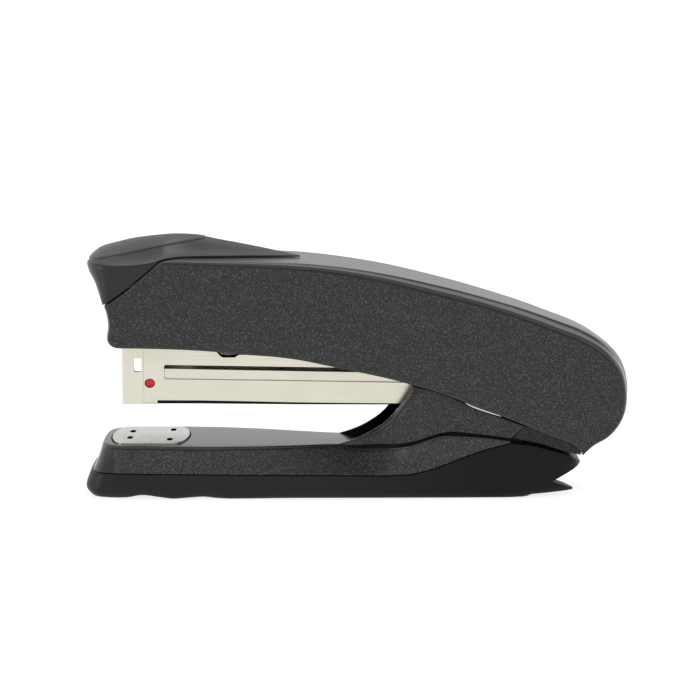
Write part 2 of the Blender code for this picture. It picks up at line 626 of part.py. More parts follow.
def make_yoke():
    """Two halves of the rear housing: a textured side and half of the floor."""
    front = [(-4.0, 15.4), (-0.5, 15.9), (3.0, 17.6), (6.2, 20.1), (9.0, 23.0), (11.6, 26.4),
             (14.6, 31.0)]
    top = [(20.0, 30.2), (30.0, 27.2), (38.8, 24.2), (45.9, 20.0)]
    under = [(42.0, 16.8), (33.0, 17.7), (23.9, 18.1), (17.1, 16.1), (11.6, 15.0)]
    skirt = [(-3.2, 11.5), (38.0, 11.5), (40.5, 17.5), (23.9, 19.5), (14.0, 17.0), (-3.2, 15.6)]
    for side, name in ((-1, "left"), (1, "right")):
        plate_y = sorted((side * FLANK_IN, side * FLANK_OUT))
        skirt_y = sorted((side * FLANK_IN, side * (FLANK_OUT - 0.7)))
        floor_y = sorted((side * 0.15, side * (FLANK_IN + 0.2)))
        parts = [plate_xz(front + top + under, *plate_y), plate_xz(skirt, *skirt_y),
                 box(-3.2, 38.0, *floor_y, 11.5, 12.9)]
        half = joined(f"yoke_{name}", parts, "textured")
        cut(half, box(12.0, 42.0, -5.0, 5.0, 5, 20), turned(4.0, 0, [(5, 1.5), (20, 1.5)], 10))


def make_anvil(lift):
    support = bar_x(arch(9.0, 4.3, 12.2, 1.0), -67.0, -48.0)
    support = new_object("anvil_support", support, "steel")
    cut(support, turned(ANVIL_X, 0, [(5, 2.4), (20, 2.4)]))
    post = turned(ANVIL_X, 0, [(2.6, 1.5), (ANVIL_Z - GAP, 1.5)], 12)
    new_object("anvil_post", post, "steel", lift)
    button = turned(ANVIL_X, 0, [(0.7, 5.2), (1.1, 5.6), (2.3, 5.6)])
    new_object("anvil_button", button, "black", lift)
    half_x = 10.9
    half_y = 12.0
    bulge = 34.0
    swing = math.degrees(math.asin((half_y - 1.0) / bulge))
    right = arc(half_x - bulge, 0, bulge, -swing, swing, 6)
    shoulder = right[-1][0] - 1.2
    outline = [(shoulder, -half_y)] + right + [(shoulder, half_y)]
    outline += [(-x, -y) for x, y in outline]
    outline = [(x + ANVIL_X, y) for x, y in outline]
    plate = new_object("anvil_plate", plate_xy(outline, ANVIL_Z, ANVIL_Z + 0.6), "steel", lift)
    pockets = []
    for dx, dy in ((-5.5, 4.5), (5.7, 6.9)):
        for y in (-dy, dy):
            x = ANVIL_X + dx
            pockets.append(box(x - 0.8, x + 0.8, y - 1.7, y + 1.7, ANVIL_Z + 0.35, 20))
    cut(plate, *pockets)


def build():
    clear_scene()
    pivot = axis_empty("pivot_axis", PIVOT_X, 0, PIVOT_Z)
    pusher_axis = axis_empty("pusher_axis", PUSHER_BACK - 4.0, 0, ROD_Z)
    anvil_axis = axis_empty("anvil_axis", ANVIL_X, 0, ANVIL_Z)
    make_shoe()
    make_feet_and_screws()
    make_cover()
    make_frame()
    make_pivot()
    make_yoke()
    make_anvil(anvil_axis)
    make_case(pivot)
    make_drawer()
    make_rail()
    make_staples()
    make_pusher(pusher_axis)
    make_springs()
    make_lever(pivot)
    make_driver(pivot)
    make_handle_shell(pivot)
    make_nose(pivot)
    make_handle_tail(pivot)


build()
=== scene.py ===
"""Looks of the desktop stapler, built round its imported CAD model.

Shapes are worked out in millimetres, in the CAD model's own frame: nose at -X, heel at +X,
+Z up. plain_object() turns them into metres. Places come from the CAD nodes' boxes.
"""
import math

import bmesh
import bpy
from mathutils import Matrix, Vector
from mathutils.bvhtree import BVHTree


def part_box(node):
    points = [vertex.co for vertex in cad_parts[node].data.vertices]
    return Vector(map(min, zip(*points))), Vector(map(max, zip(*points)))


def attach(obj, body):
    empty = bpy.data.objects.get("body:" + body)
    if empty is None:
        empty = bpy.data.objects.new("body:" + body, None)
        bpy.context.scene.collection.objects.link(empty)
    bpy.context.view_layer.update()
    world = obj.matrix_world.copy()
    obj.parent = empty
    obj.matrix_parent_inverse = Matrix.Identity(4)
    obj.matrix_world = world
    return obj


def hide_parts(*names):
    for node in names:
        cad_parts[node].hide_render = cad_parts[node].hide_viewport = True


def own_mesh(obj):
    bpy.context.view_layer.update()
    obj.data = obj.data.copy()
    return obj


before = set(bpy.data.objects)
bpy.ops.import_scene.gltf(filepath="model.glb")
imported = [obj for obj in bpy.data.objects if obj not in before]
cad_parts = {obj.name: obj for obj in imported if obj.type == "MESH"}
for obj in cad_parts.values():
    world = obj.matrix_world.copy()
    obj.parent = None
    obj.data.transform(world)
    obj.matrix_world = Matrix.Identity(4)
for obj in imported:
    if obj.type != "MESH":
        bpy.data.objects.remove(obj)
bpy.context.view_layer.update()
MM = 0.001


def corner_points(node):
    """Lowest and highest corner of a CAD node, in millimetres."""
    low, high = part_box(node)
    return Vector(low) / MM, Vector(high) / MM


def middle_of(node):
    """Middle of a CAD node's box, in millimetres."""
    low, high = corner_points(node)
    return (low + high) / 2


# ---- curves ----
def hermite(t, step, values):
    """Cubic at t of a step: values are its start, slope there, end and slope there."""
    weights = ((1 + 2 * t) * (1 - t) ** 2, t * (1 - t) ** 2 * step,
               t * t * (3 - 2 * t), t * t * (t - 1) * step)
    return sum(w * v for w, v in zip(weights, values))


def flowing(points, step):
    """Points about a step apart on a smooth curve through some points.

    The first two coordinates set the spacing; any others are carried along.
    """
    chords = [math.dist(a[:2], b[:2]) for a, b in zip(points, points[1:])]
    slopes = [[(v - u) / chord for u, v in zip(a, b)]
              for a, b, chord in zip(points, points[1:], chords)]
    tangents = [slopes[0]]
    for before, after, c0, c1 in zip(slopes, slopes[1:], chords, chords[1:]):
        tangents.append([(u * c1 + v * c0) / (c0 + c1) for u, v in zip(before, after)])
    tangents.append(slopes[-1])
    made = []
    for i, chord in enumerate(chords):
        count = max(1, round(chord / step))
        ends = list(zip(points[i], tangents[i], points[i + 1], tangents[i + 1]))
        for k in range(count):
            made.append(tuple(hermite(k / count, chord, values) for values in ends))
    made.append(tuple(points[-1]))
    return made


def joined(parts, step):
    """Closed outline of smooth stretches that meet in corners."""
    return [point for part in parts for point in flowing(part, step)[:-1]]


def smooth(points):
    """Monotone cubic through (x, value) points, as a function of x."""
    xs, vs = zip(*points)
    slopes = [(vs[i + 1] - vs[i]) / (xs[i + 1] - xs[i]) for i in range(len(xs) - 1)]
    tangents = [slopes[0]]
    for a, b in zip(slopes, slopes[1:]):
        tangents.append(0.0 if a * b <= 0 else 2 * a * b / (a + b))
    tangents.append(slopes[-1])

    def value(x):
        x = min(max(x, xs[0]), xs[-1])
        i = max(k for k in range(len(xs) - 1) if xs[k] <= x)
        step = xs[i + 1] - xs[i]
        return hermite((x - xs[i]) / step, step, (vs[i], tangents[i], vs[i + 1], tangents[i + 1]))

    return value


def arc(cx, cy, radius, start, end, steps):
    """Points on an arc, angles in degrees."""
    angles = [math.radians(start + (end - start) * i / steps) for i in range(steps + 1)]
    return [(cx + radius * math.cos(a), cy + radius * math.sin(a)) for a in angles]


def circle(cx, cy, radius, sides):
    """Points round a circle, with none repeated."""
    return arc(cx, cy, radius, 0, 360 * (sides - 1) / sides, sides - 1)


def inset(path, distances, closed=False):
    """Move a path in x and z to its right, by one distance for each point."""
    count = len(path)
    moved = []
    for i, point in enumerate(path):
        behind = path[i - 1] if closed or i else path[0]
        ahead = path[(i + 1) % count] if closed or i < count - 1 else path[-1]
        dx = ahead[0] - behind[0]
        dz = ahead[1] - behind[1]
        length = math.hypot(dx, dz)
        moved.append((point[0] + dz / length * distances[i], point[1] - dx / length * distances[i]))
    return moved


def mix(a, b, t):
    return tuple(u + (v - u) * t for u, v in zip(a, b))


def rounded_corner(before, corner, after, reach, reach_after=None, steps=4):
    """Points that turn a corner softly, from reach before it to a reach after it."""
    before, corner, after = Vector(before), Vector(corner), Vector(after)
    first = corner + (before - corner).normalized() * reach
    last = corner + (after - corner).normalized() * (reach_after or reach)
    points = []
    for k in range(steps + 1):
        t = k / steps
        points.append(first * (1 - t) ** 2 + corner * (2 * t * (1 - t)) + last * t * t)
    return points


def span(side, inner, outer):
    """Lower and upper y of a wall on one side, -1 or 1, from its distances to the middle."""
    return sorted((side * inner, side * outer))


def scaled(outline, centre, across, along):
    """Outline scaled about a point, by one factor for each of its two coordinates."""
    return [(centre[0] + (x - centre[0]) * across, centre[1] + (y - centre[1]) * along)
            for x, y in outline]


def both_sides(half):
    """Outline from its half on the positive side, from the middle out and back."""
    return half + [(-y, z) for y, z in half[::-1]]


# ---- mesh tools ----
def sheet_of(bm, rows, material=0, closed=False):
    """Quads between neighbouring rows of vertices."""
    faces = []
    for low, high in zip(rows, rows[1:]):
        count = len(low)
        for i in range(count if closed else count - 1):
            j = (i + 1) % count
            corners = list(dict.fromkeys((low[i], low[j], high[j], high[i])))
            if len(corners) > 2:
                face = bm.faces.new(corners)
                face.material_index = material
                faces.append(face)
    return faces


def loft(rings, material=0):
    """Closed body through rings of equal length."""
    bm = bmesh.new()
    rows = [[bm.verts.new(point) for point in ring] for ring in rings]
    sheet_of(bm, rows, material, closed=True)
    for ring in (rows[0][::-1], rows[-1]):
        bm.faces.new(ring).material_index = material
    return bm


def mirrored(bm, columns):
    """Rows of vertices on the far side, and their mirror images that share the middle plane."""
    far = [[bm.verts.new(point) for point in column] for column in columns]
    near = [[vert if abs(vert.co.y) < 1e-6 else bm.verts.new((vert.co.x, -vert.co.y, vert.co.z))
             for vert in column] for column in far]
    return far, near


def two_sided(columns):
    """Closed body through columns that end on the middle plane, and their mirror images."""
    bm = bmesh.new()
    far, near = mirrored(bm, columns)
    sheet_of(bm, far)
    sheet_of(bm, near[::-1])
    sheet_of(bm, [[a[0], b[0]] for a, b in zip(far, near)])
    bm.faces.new(far[0] + near[0][-2::-1])
    return bm


def stacked(rings, base, material=0):
    """Closed body through flat outlines, given as (outline, height above base) pairs."""
    return loft([[(x, y, base + lift) for x, y in outline] for outline, lift in rings], material)


def plate_xz(outline, y0, y1, material=0):
    return loft([[(x, y, z) for x, z in outline] for y in (y0, y1)], material)


def plate_xy(outline, z0, z1, material=0):
    return loft([[(x, y, z) for x, y in outline] for z in (z0, z1)], material)


def bar_x(section, x0, x1, material=0):
    return loft([[(x, y, z) for y, z in section] for x in (x0, x1)], material)


def box(x0, x1, y0, y1, z0, z1, material=0):
    return plate_xy([(x0, y0), (x1, y0), (x1, y1), (x0, y1)], z0, z1, material)


def turned(x, y, profile, sides=48, material=0):
    """Body of revolution about a vertical axis; profile is (z, radius) from the bottom."""
    return loft([[(px, py, z) for px, py in circle(x, y, r, sides)] for z, r in profile], material)


def tube_along(points, radius, sides=10):
    """Round wire along 3-D points."""
    points = [Vector(p) for p in points]
    rings = []
    normal = Vector((0.13, 0.31, 0.94))
    for i, point in enumerate(points):
        tangent = (points[min(i + 1, len(points) - 1)] - points[max(i - 1, 0)]).normalized()
        side = tangent.cross(normal).normalized()
        normal = side.cross(tangent)
        turns = (2 * math.pi * k / sides for k in range(sides))
        rings.append([point + side * (radius * math.cos(a)) + normal * (radius * math.sin(a))
                      for a in turns])
    return loft(rings)


def plain_object(name, bm, materials=()):
    """Object in metres from a bmesh in millimetres, with its faces pointing out."""
    bmesh.ops.recalc_face_normals(bm, faces=bm.faces)
    if bm.calc_volume(signed=True) < 0:
        bmesh.ops.reverse_faces(bm, faces=bm.faces)
    bmesh.ops.scale(bm, vec=(MM, MM, MM), verts=bm.verts)
    mesh = bpy.data.meshes.new(name)
    bm.to_mesh(mesh)
    bm.free()
    for material in materials:
        mesh.materials.append(material)
    obj = bpy.data.objects.new(name, mesh)
    bpy.context.scene.collection.objects.link(obj)
    return obj


def worked(obj, tools, operation="DIFFERENCE"):
    """Cut an object with some bodies, or join them to it, and keep the result as its mesh."""
    helpers = []
    for i, bm in enumerate(tools):
        helper = plain_object(f"{obj.name}_tool_{i}", bm, obj.data.materials)
        helpers.append(helper)
        modifier = obj.modifiers.new(f"tool_{i}", "BOOLEAN")
        modifier.operation = operation
        modifier.solver = "EXACT"
        modifier.object = helper
    settled(obj)
    for helper in helpers:
        bpy.data.objects.remove(helper, do_unlink=True)


def settled(obj):
    """Replace an object's mesh with what its modifiers make of it."""
    graph = bpy.context.evaluated_depsgraph_get()
    mesh = bpy.data.meshes.new_from_object(obj.evaluated_get(graph))
    obj.modifiers.clear()
    obj.data = mesh


def soften(obj, width, segments=2, angle=38.0):
    """Round the sharp edges of a sheet-metal or moulded piece."""
    bevel = obj.modifiers.new("edges", "BEVEL")
    bevel.limit_method = "ANGLE"
    bevel.angle_limit = math.radians(angle)
    bevel.width = width * MM
    bevel.segments = segments
    bevel.harden_normals = True


def finished(obj, body, replaces=()):
    """Shade a piece, and hang it on its CAD body."""
    obj.data.shade_smooth()
    obj.data.set_sharp_from_angle(angle=math.radians(34.0))
    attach(obj, body)
    if replaces:
        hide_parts(*replaces)


# ---- materials ----
def shader_of(name, colour, roughness, metallic=0.0, specular=0.5):
    """Plain material, with its shader and its node tree."""
    material = bpy.data.materials.new(name)
    material.use_nodes = True
    shader = material.node_tree.nodes["Principled BSDF"]
    shader.inputs["Base Color"].default_value = (*colour, 1.0)
    shader.inputs["Roughness"].default_value = roughness
    shader.inputs["Metallic"].default_value = metallic
    shader.inputs["Specular IOR Level"].default_value = specular
    return material, shader, material.node_tree


def add_node(tree, kind, inputs):
    """Shader node whose inputs are set to values or linked to other nodes."""
    node = tree.nodes.new(f"ShaderNode{kind}")
    for name, value in inputs.items():
        if isinstance(value, bpy.types.NodeSocket):
            tree.links.new(value, node.inputs[name])
        else:
            node.inputs[name].default_value = value
    return node


def placed(tree, stretch=(1.0, 1.0, 1.0)):
    """Object coordinates, stretched along the axes."""
    inputs = {"Vector": add_node(tree, "TexCoord", {}).outputs["Object"], "Scale": stretch}
    return add_node(tree, "Mapping", inputs).outputs["Vector"]


def noise(tree, size, detail=3.0, stretch=(1.0, 1.0, 1.0)):
    """Noise whose features are about a size in millimetres."""
    inputs = {"Scale": 1.0 / (size * MM), "Detail": detail, "Vector": placed(tree, stretch)}
    return add_node(tree, "TexNoise", inputs).outputs["Fac"]


def ranged(tree, value, low, high, to_low=0.0, to_high=1.0):
    inputs = {"Value": value, "From Min": low, "From Max": high, "To Min": to_low,
              "To Max": to_high}
    return add_node(tree, "MapRange", inputs).outputs["Result"]


def times(tree, a, b):
    node = add_node(tree, "Math", {0: a, 1: b})
    node.operation = "MULTIPLY"
    return node.outputs["Value"]


def blended(tree, factor, a, b):
    """Colour between two, which may be colours or sockets."""
    a, b = [(*colour, 1.0) if isinstance(colour, tuple) else colour for colour in (a, b)]
    node = add_node(tree, "Mix", {"Factor": factor, 6: a, 7: b})
    node.data_type = "RGBA"
    return node.outputs[2]


def roughened(tree, shader, texture, low, high, strength, depth):
    """Let a texture vary the roughness between two values and raise the surface."""
    tree.links.new(ranged(tree, texture, 0.3, 0.7, low, high), shader.inputs["Roughness"])
    node = add_node(tree, "Bump", {"Strength": strength, "Distance": depth * MM, "Height": texture})
    tree.links.new(node.outputs["Normal"], shader.inputs["Normal"])


def grained(name, dark, light, speck, roughness, specular):
    """Moulded plastic with a fine eroded grain and small light flecks in it."""
    material, shader, tree = shader_of(name, dark, roughness, specular=specular)
    flecks = add_node(tree, "TexVoronoi", {"Scale": 1.0 / (0.32 * MM), "Vector": placed(tree)})
    parts = add_node(tree, "SeparateColor", {"Color": flecks.outputs["Color"]})
    chosen = ranged(tree, parts.outputs["Red"], 0.45, 1.0)
    core = ranged(tree, flecks.outputs["Distance"], 0.1, 0.6, 1.0, 0.0)
    mottle = ranged(tree, noise(tree, 0.45, 5.0), 0.38, 0.64)
    colour = blended(tree, mottle, dark, light)
    colour = blended(tree, times(tree, chosen, core), colour, speck)
    tree.links.new(colour, shader.inputs["Base Color"])
    grain = noise(tree, 0.55, 4.0)
    roughened(tree, shader, grain, roughness - 0.07, roughness + 0.07, 0.32, 0.16)
    return material


def moulded(name, dark, light, roughness, specular=0.5, grain=0.1):
    """Smooth satin plastic with a trace of mould texture."""
    material, shader, tree = shader_of(name, dark, roughness, specular=specular)
    broad = ranged(tree, noise(tree, 9.0, 2.0), 0.3, 0.7)
    tree.links.new(blended(tree, broad, dark, light), shader.inputs["Base Color"])
    fine = noise(tree, 0.25)
    roughened(tree, shader, fine, roughness - 0.04, roughness + 0.04, grain, 0.05)
    return material


def darker_rearwards(material, front, rear):
    """Let a plastic's colour fall off towards the heel."""
    tree = material.node_tree
    parts = add_node(tree, "SeparateXYZ", {"Vector": placed(tree)})
    place = ranged(tree, parts.outputs["X"], -0.01, 0.035)
    speckle = ranged(tree, noise(tree, 0.3), 0.3, 0.7, 0.9, 1.1)
    mixed = blended(tree, times(tree, place, speckle), front, rear)
    tree.links.new(mixed, tree.nodes["Principled BSDF"].inputs["Base Color"])
    return material


def plated(name, dark, light, roughness, lines=0.06, stretch=(0.03, 1.0, 1.0)):
    """Metal with faint rolling lines along its length."""
    material, shader, tree = shader_of(name, light, roughness, metallic=1.0)
    rolled = noise(tree, 0.5, stretch=stretch)
    shade = ranged(tree, noise(tree, 14.0, 2.0), 0.3, 0.7)
    tree.links.new(blended(tree, shade, dark, light), shader.inputs["Base Color"])
    roughened(tree, shader, rolled, roughness - 0.05, roughness + 0.06, lines, 0.03)
    return material


PANEL = grained("grained_plastic", (0.0025, 0.003, 0.0035), (0.0185, 0.0195, 0.02),
                (0.13, 0.13, 0.126), 0.5, 0.38)
BASE_PANEL = grained("grained_base_plastic", (0.004, 0.0056, 0.0055), (0.024, 0.0265, 0.026),
                     (0.140, 0.147, 0.144), 0.48, 0.38)
# Darker copy of the grained plastic for the handle's tail: painted shade, as the tail sits inboard under
# the handle's overhang.
SHADED_TAIL_GRAIN = grained("grained_tail_painted_shade", (0.002, 0.0024, 0.0025), (0.011, 0.0117, 0.0118),
               (0.06, 0.06, 0.059), 0.50, 0.30)
SATIN = moulded("satin_plastic", (0.011, 0.0122, 0.0118), (0.014, 0.0155, 0.015), 0.30, 0.52)
BASE_SATIN = moulded("base_satin_plastic", (0.013, 0.0148, 0.0142), (0.017, 0.019, 0.0183),
                     0.27, 0.62)
GLOSS = moulded("gloss_front_plastic", (0.005, 0.0062, 0.0058), (0.007, 0.0084, 0.008),
                0.24, 0.42, 0.03)
# Darker plastic for the rounded rims of the yoke halves: painted shade and dark reflection where the rim
# faces forward and down.
PAINTED_SHADE_RIM = moulded("rim_painted_shade", (0.008, 0.0088, 0.0085), (0.011, 0.012, 0.0117), 0.34, 0.40)
CAP = moulded("cap_plastic", (0.005, 0.0066, 0.0061), (0.0068, 0.0085, 0.008), 0.38, 0.38)
PAD = moulded("thumb_pad", (0.024, 0.0255, 0.0248), (0.030, 0.0317, 0.0307), 0.42, 0.5, 0.2)
BLACK = moulded("black_plastic", (0.0035, 0.0042, 0.004), (0.0055, 0.0064, 0.0061), 0.42, 0.24)
# Near-black plastic for insides, hollows, pockets and undersides: painted shade where these faces lie in
# shadow, whatever the part is made of.
PAINTED_SHADE_INSIDE = moulded("painted_shade_plastic", (0.002, 0.0022, 0.0021), (0.003, 0.0033, 0.0032), 0.6, 0.15)
NICKEL = plated("nickel_plate", (0.60, 0.575, 0.487), (0.645, 0.62, 0.53), 0.26, 0.012)
STEEL = plated("zinc_sheet", (0.45, 0.45, 0.44), (0.54, 0.54, 0.53), 0.32)
ANVIL = plated("anvil_steel", (0.54, 0.54, 0.515), (0.61, 0.61, 0.585), 0.36, 0.1,
               (1.0, 0.05, 1.0))
COATED = moulded("coated_steel", (0.004, 0.0044, 0.0042), (0.006, 0.0064, 0.0062), 0.45, 0.25)
SPRING = plated("spring_steel", (0.5,) * 3, (0.6,) * 3, 0.24)
WIRE = plated("staple_wire", (0.60, 0.60, 0.59), (0.70, 0.70, 0.69), 0.25)
RED = moulded("red_flag", (0.84, 0.034, 0.026), (0.90, 0.042, 0.032), 0.36, 0.4, 0.05)
NYLON = moulded("nylon", (0.60, 0.59, 0.54), (0.68, 0.67, 0.62), 0.48, 0.5, 0.15)
RUBBER = moulded("rubber", (0.008,) * 3, (0.012,) * 3, 0.8, 0.3, 0.3)
SHOE = darker_rearwards(moulded("shoe_plastic", (0.010, 0.011, 0.0107), (0.012, 0.013, 0.0127),
                                0.42, 0.17), (0.0105, 0.0125, 0.0118), (0.001, 0.0012, 0.001))
# Lighter copy of the shoe plastic for the faces of the heel's notch: painted light on the side that
# turns to the rear.
LIT_SHOE_FIN = moulded("shoe_fin_painted_light", (0.016, 0.017, 0.0165), (0.022, 0.023, 0.0225), 0.45, 0.3)


# ---- camera, floor and light ----
def make_camera():
    elevation = math.radians(9.0)
    distance = 620.0 * MM
    aim = Vector((-2.0, 0.0, 38.5)) * MM
    back = Vector((0.0, -math.cos(elevation), math.sin(elevation)))
    camera = bpy.data.objects.new("camera", bpy.data.cameras.new("camera"))
    camera.location = aim + back * distance
    camera.rotation_euler = (-back).to_track_quat("-Z", "Y").to_euler()
    camera.data.sensor_width = 36.0
    camera.data.lens = 114.8
    camera.data.clip_start = 0.02
    camera.data.clip_end = 200.0
    bpy.context.scene.collection.objects.link(camera)
    bpy.context.scene.camera = camera


def make_floor():
    bm = bmesh.new()
    bmesh.ops.create_grid(bm, x_segments=8, y_segments=8, size=60000.0)
    bmesh.ops.translate(bm, vec=(0.0, 0.0, -0.05), verts=bm.verts)
    material, shader, _ = shader_of("pale_floor", (0.28,) * 3, 0.9, specular=0.1)
    shader.inputs["Emission Color"].default_value = (1.0, 1.0, 1.0, 1.0)
    shader.inputs["Emission Strength"].default_value = 0.82
    floor = plain_object("floor", bm, [material])


def make_lights():
    world = bpy.data.worlds.new("studio")
    world.use_nodes = True
    background = world.node_tree.nodes["Background"]
    background.inputs["Color"].default_value = (1.0, 1.0, 1.0, 1.0)
    background.inputs["Strength"].default_value = 1.0
    bpy.context.scene.world = world
    for name, energy, angle, source in (("overhead", 0.8, 40.0, (0.35, 0.33, 0.87)),
                                        ("left_strip", 0.55, 12.0, (-0.93, -0.30, 0.22)),
                                        ("right_strip", 0.3, 14.0, (0.88, 0.10, 0.40))):
        sun = bpy.data.lights.new(name, "SUN")
        sun.energy = energy
        sun.angle = math.radians(angle)
        lamp = bpy.data.objects.new(name, sun)
        lamp.rotation_euler = Vector(source).to_track_quat("Z", "Y").to_euler()
        bpy.context.scene.collection.objects.link(lamp)
    bpy.context.scene.view_settings.view_transform = "Standard"


# ---- handle shell ----
HANDLE_HALF = corner_points("handle_shell")[1].y
WALL = 1.6
FLANK_OUT = 14.6    # sides of the yoke and the tail, just inside the handle's
FLANK_IN = 13.2

# Outline points are (x, z, edge height, groove beside it, edge depth in y, crown in the middle).
FRONT = ([(-65.4, 41.5, 0.5, 0.0, 0.8, 0.0)]
         + [(x, z, 0.9, 0.0, 4.0, 0.1) for x, z in arc(-65.25, 44.0, 2.75, 245, 180, 4)]
         + [(-68.0, 47.0, 1.35, 0.0, 10.0, 0.9), (-68.3, 50.0, 1.35, 0.0, 10.0, 0.9),
            (-68.8, 52.7, 1.0, 0.0, 8.0, 0.7)])
DECK = ([FRONT[-1], (-67.5, 53.5, 0.4, 0.0, 0.4, 0.0)]
        + [(x, z, 0.3, 0.0, 0.4, 0.0) for x, z in ((-64.8, 55.2), (-60.3, 58.8), (-55.3, 63.0))]
        + [(-53.6, 64.5, 0.3, 0.1, 0.5, 0.0), (-52.2, 65.1, 0.3, 0.2, 0.7, 0.0)])
TOP = [DECK[-1], (-50.5, 65.2, 0.4, 0.4, 0.9, 0.0),
       (-40.0, 65.1, 0.6, 0.6, 1.3, 0.0), (-26.0, 64.8, 0.8, 0.75, 1.7, 0.0),
       (-16.0, 64.4, 0.95, 0.9, 2.3, 0.0), (-5.0, 63.3, 1.0, 1.0, 3.3, 0.0),
       (6.4, 61.5, 1.2, 1.0, 3.9, 0.0), (20.0, 58.5, 1.45, 1.0, 4.9, 0.0),
       (29.0, 56.2, 1.4, 1.0, 5.6, 0.0), (37.5, 53.7, 1.3, 1.0, 6.5, 0.0),
       (46.0, 51.0, 1.4, 1.0, 7.5, 0.0), (54.8, 47.85, 1.6, 1.0, 7.8, 0.0),
       (61.3, 45.3, 1.6, 1.0, 8.2, 0.1), (66.0, 42.6, 1.6, 0.9, 8.6, 0.3),
       (69.4, 39.7, 1.6, 0.7, 9.0, 0.6), (71.9, 36.4, 1.6, 0.5, 9.2, 0.9),
       (73.35, 32.6, 1.6, 0.3, 9.0, 1.1), (73.9, 28.2, 1.5, 0.2, 9.0, 1.2),
       (73.3, 23.2, 1.4, 0.1, 8.5, 1.1), (71.4, 19.4, 1.3, 0.0, 7.0, 0.8),
       (68.4, 16.4, 1.1, 0.0, 5.0, 0.5), (64.6, 14.4, 0.8, 0.0, 3.0, 0.2),
       (61.5, 12.0, 0.4, 0.0, 0.6, 0.0)]
LOWER = [(x, z, 0.35, 0.0, 0.4, 0.0) for x, z in (
    (61.5, 12.0), (60.9, 12.9), (59.6, 14.4), (52.4, 17.4), (45.3, 20.4), (39.5, 22.7),
    (31.7, 25.5), (26.5, 27.7), (21.3, 29.6), (16.8, 30.9), (11.5, 32.4), (-6.1, 36.3),
    (-11.2, 37.4), (-15.8, 38.3), (-21.4, 39.05), (-31.7, 39.85), (-38.2, 40.5), (-43.7, 40.9),
    (-50.3, 41.2), (-57.7, 41.4), (-65.4, 41.5))]
TOP_LINE = smooth([p[:2] for p in DECK[:-1] + TOP[1:13]])


def edge_rows(x, reach, groove, depth, crown, half):
    """(inset, y) of the rows between a side panel and the middle of the wall above it."""
    band = 0.12 + 0.68 * groove
    rim = half - depth
    ledge = 0.45 * reach
    rows = [(reach + band * away, half - sink * groove) for away, sink in
            ((1.0, 0.0), (0.85, 0.2), (0.62, 0.27), (0.42, 0.12), (0.2, 0.0))]
    steps = [(reach, half), (ledge + 0.35 * reach, half), (ledge + 0.1 * reach, half - 0.15),
             (ledge, half - 0.4), (ledge - 0.05, rim + 0.45), (ledge - 0.15, rim + 0.3),
             (0.06, rim + 0.06), (0.0, rim)]
    stepped = smooth([(0.3, 0.0), (0.9, 1.0)])(groove)
    for k, step in enumerate(steps):
        angle = math.pi / 2 * k / 7
        rounded = (reach * (1 - math.sin(angle)), half - depth * (1 - math.cos(angle)))
        rows.append(mix(rounded, step, stepped))
    crease = 0.16 * max(0.0, groove - 0.15) * smooth([(30.0, 0.0), (58.0, 1.0)])(x)
    rows += [(crease, rim - 0.2), (crease * 0.6, rim - 0.42), (0.0, rim - 0.65)]
    for k in range(1, 4):
        y = (rim - 0.65) * (1 - k / 3.5)
        rows.append((-crown * (1 - (y / rim) ** 2), y))
    return rows


def side_to_side(outline, half, panel, rim):
    """Closed body with flat sides; the rows round its edges follow edge_rows."""
    bm = bmesh.new()
    table = [edge_rows(point[0], *point[2:], half) for point in outline]
    lines = []
    for k in range(len(table[0])):
        path = inset(outline, [rows[k][0] for rows in table], closed=True)
        lines.append([(x, rows[k][1], z) for (x, z), rows in zip(path, table)])
    near = [[bm.verts.new((x, -y, z)) for x, y, z in line] for line in lines]
    far = [[bm.verts.new(point) for point in line] for line in lines]
    sheet_of(bm, near + far[::-1], rim, closed=True)
    bm.faces.new(near[0]).material_index = panel
    bm.faces.new(far[0][::-1]).material_index = panel
    return bm


def make_handle_shell():
    """Handle: textured sides, smooth rims and top, hollow from below."""
    step = 0.9
    outline = joined((FRONT, DECK, TOP, LOWER), step)
    shell = plain_object("handle_cover", side_to_side(outline, HANDLE_HALF, 0, 1),
                         [PANEL, SATIN, PAINTED_SHADE_INSIDE])
    roof = joined((FRONT[4:], DECK), step) + flowing(TOP[:-3], step)
    roof = inset(roof, [WALL] * len(roof))
    below = [(66.0, 8.0), (59.0, 5.0), (45.0, 12.0), (10.0, 25.0), (-30.0, 30.0),
             (roof[0][0], 30.0)]
    inside = HANDLE_HALF - WALL
    # The hollow's faces take material 2: painted shade in near black.
    worked(shell, [plate_xz(roof + below, -inside, inside, 2)])
    finished(shell, "handle", ["handle_shell"])


def make_edge_highlights():
    """Bright nickel strips along the lower edge of the handle's sides above the yoke: a painted
    highlight, standing in for the light that the yoke's top edge catches there.
    """
    line = flowing([(29.0, 26.6), (31.7, 25.45), (35.6, 24.1), (39.8, 22.6)], 0.8)
    lift = [0.5 * math.sin(math.pi * k / (len(line) - 1)) ** 0.35 for k in range(len(line))]
    outline = inset(line, lift) + [(x, z + 1.6) for x, z in line[::-1]]
    for side, name in ((-1, "left"), (1, "right")):
        bm = plate_xz(outline, *span(side, FLANK_OUT + 0.12, FLANK_OUT + 0.38))
        strip = plain_object(f"handle_edge_{name}", bm, [NICKEL])
        finished(strip, "handle")


# ---- nose cap ----
SEAM_GAP = 0.22
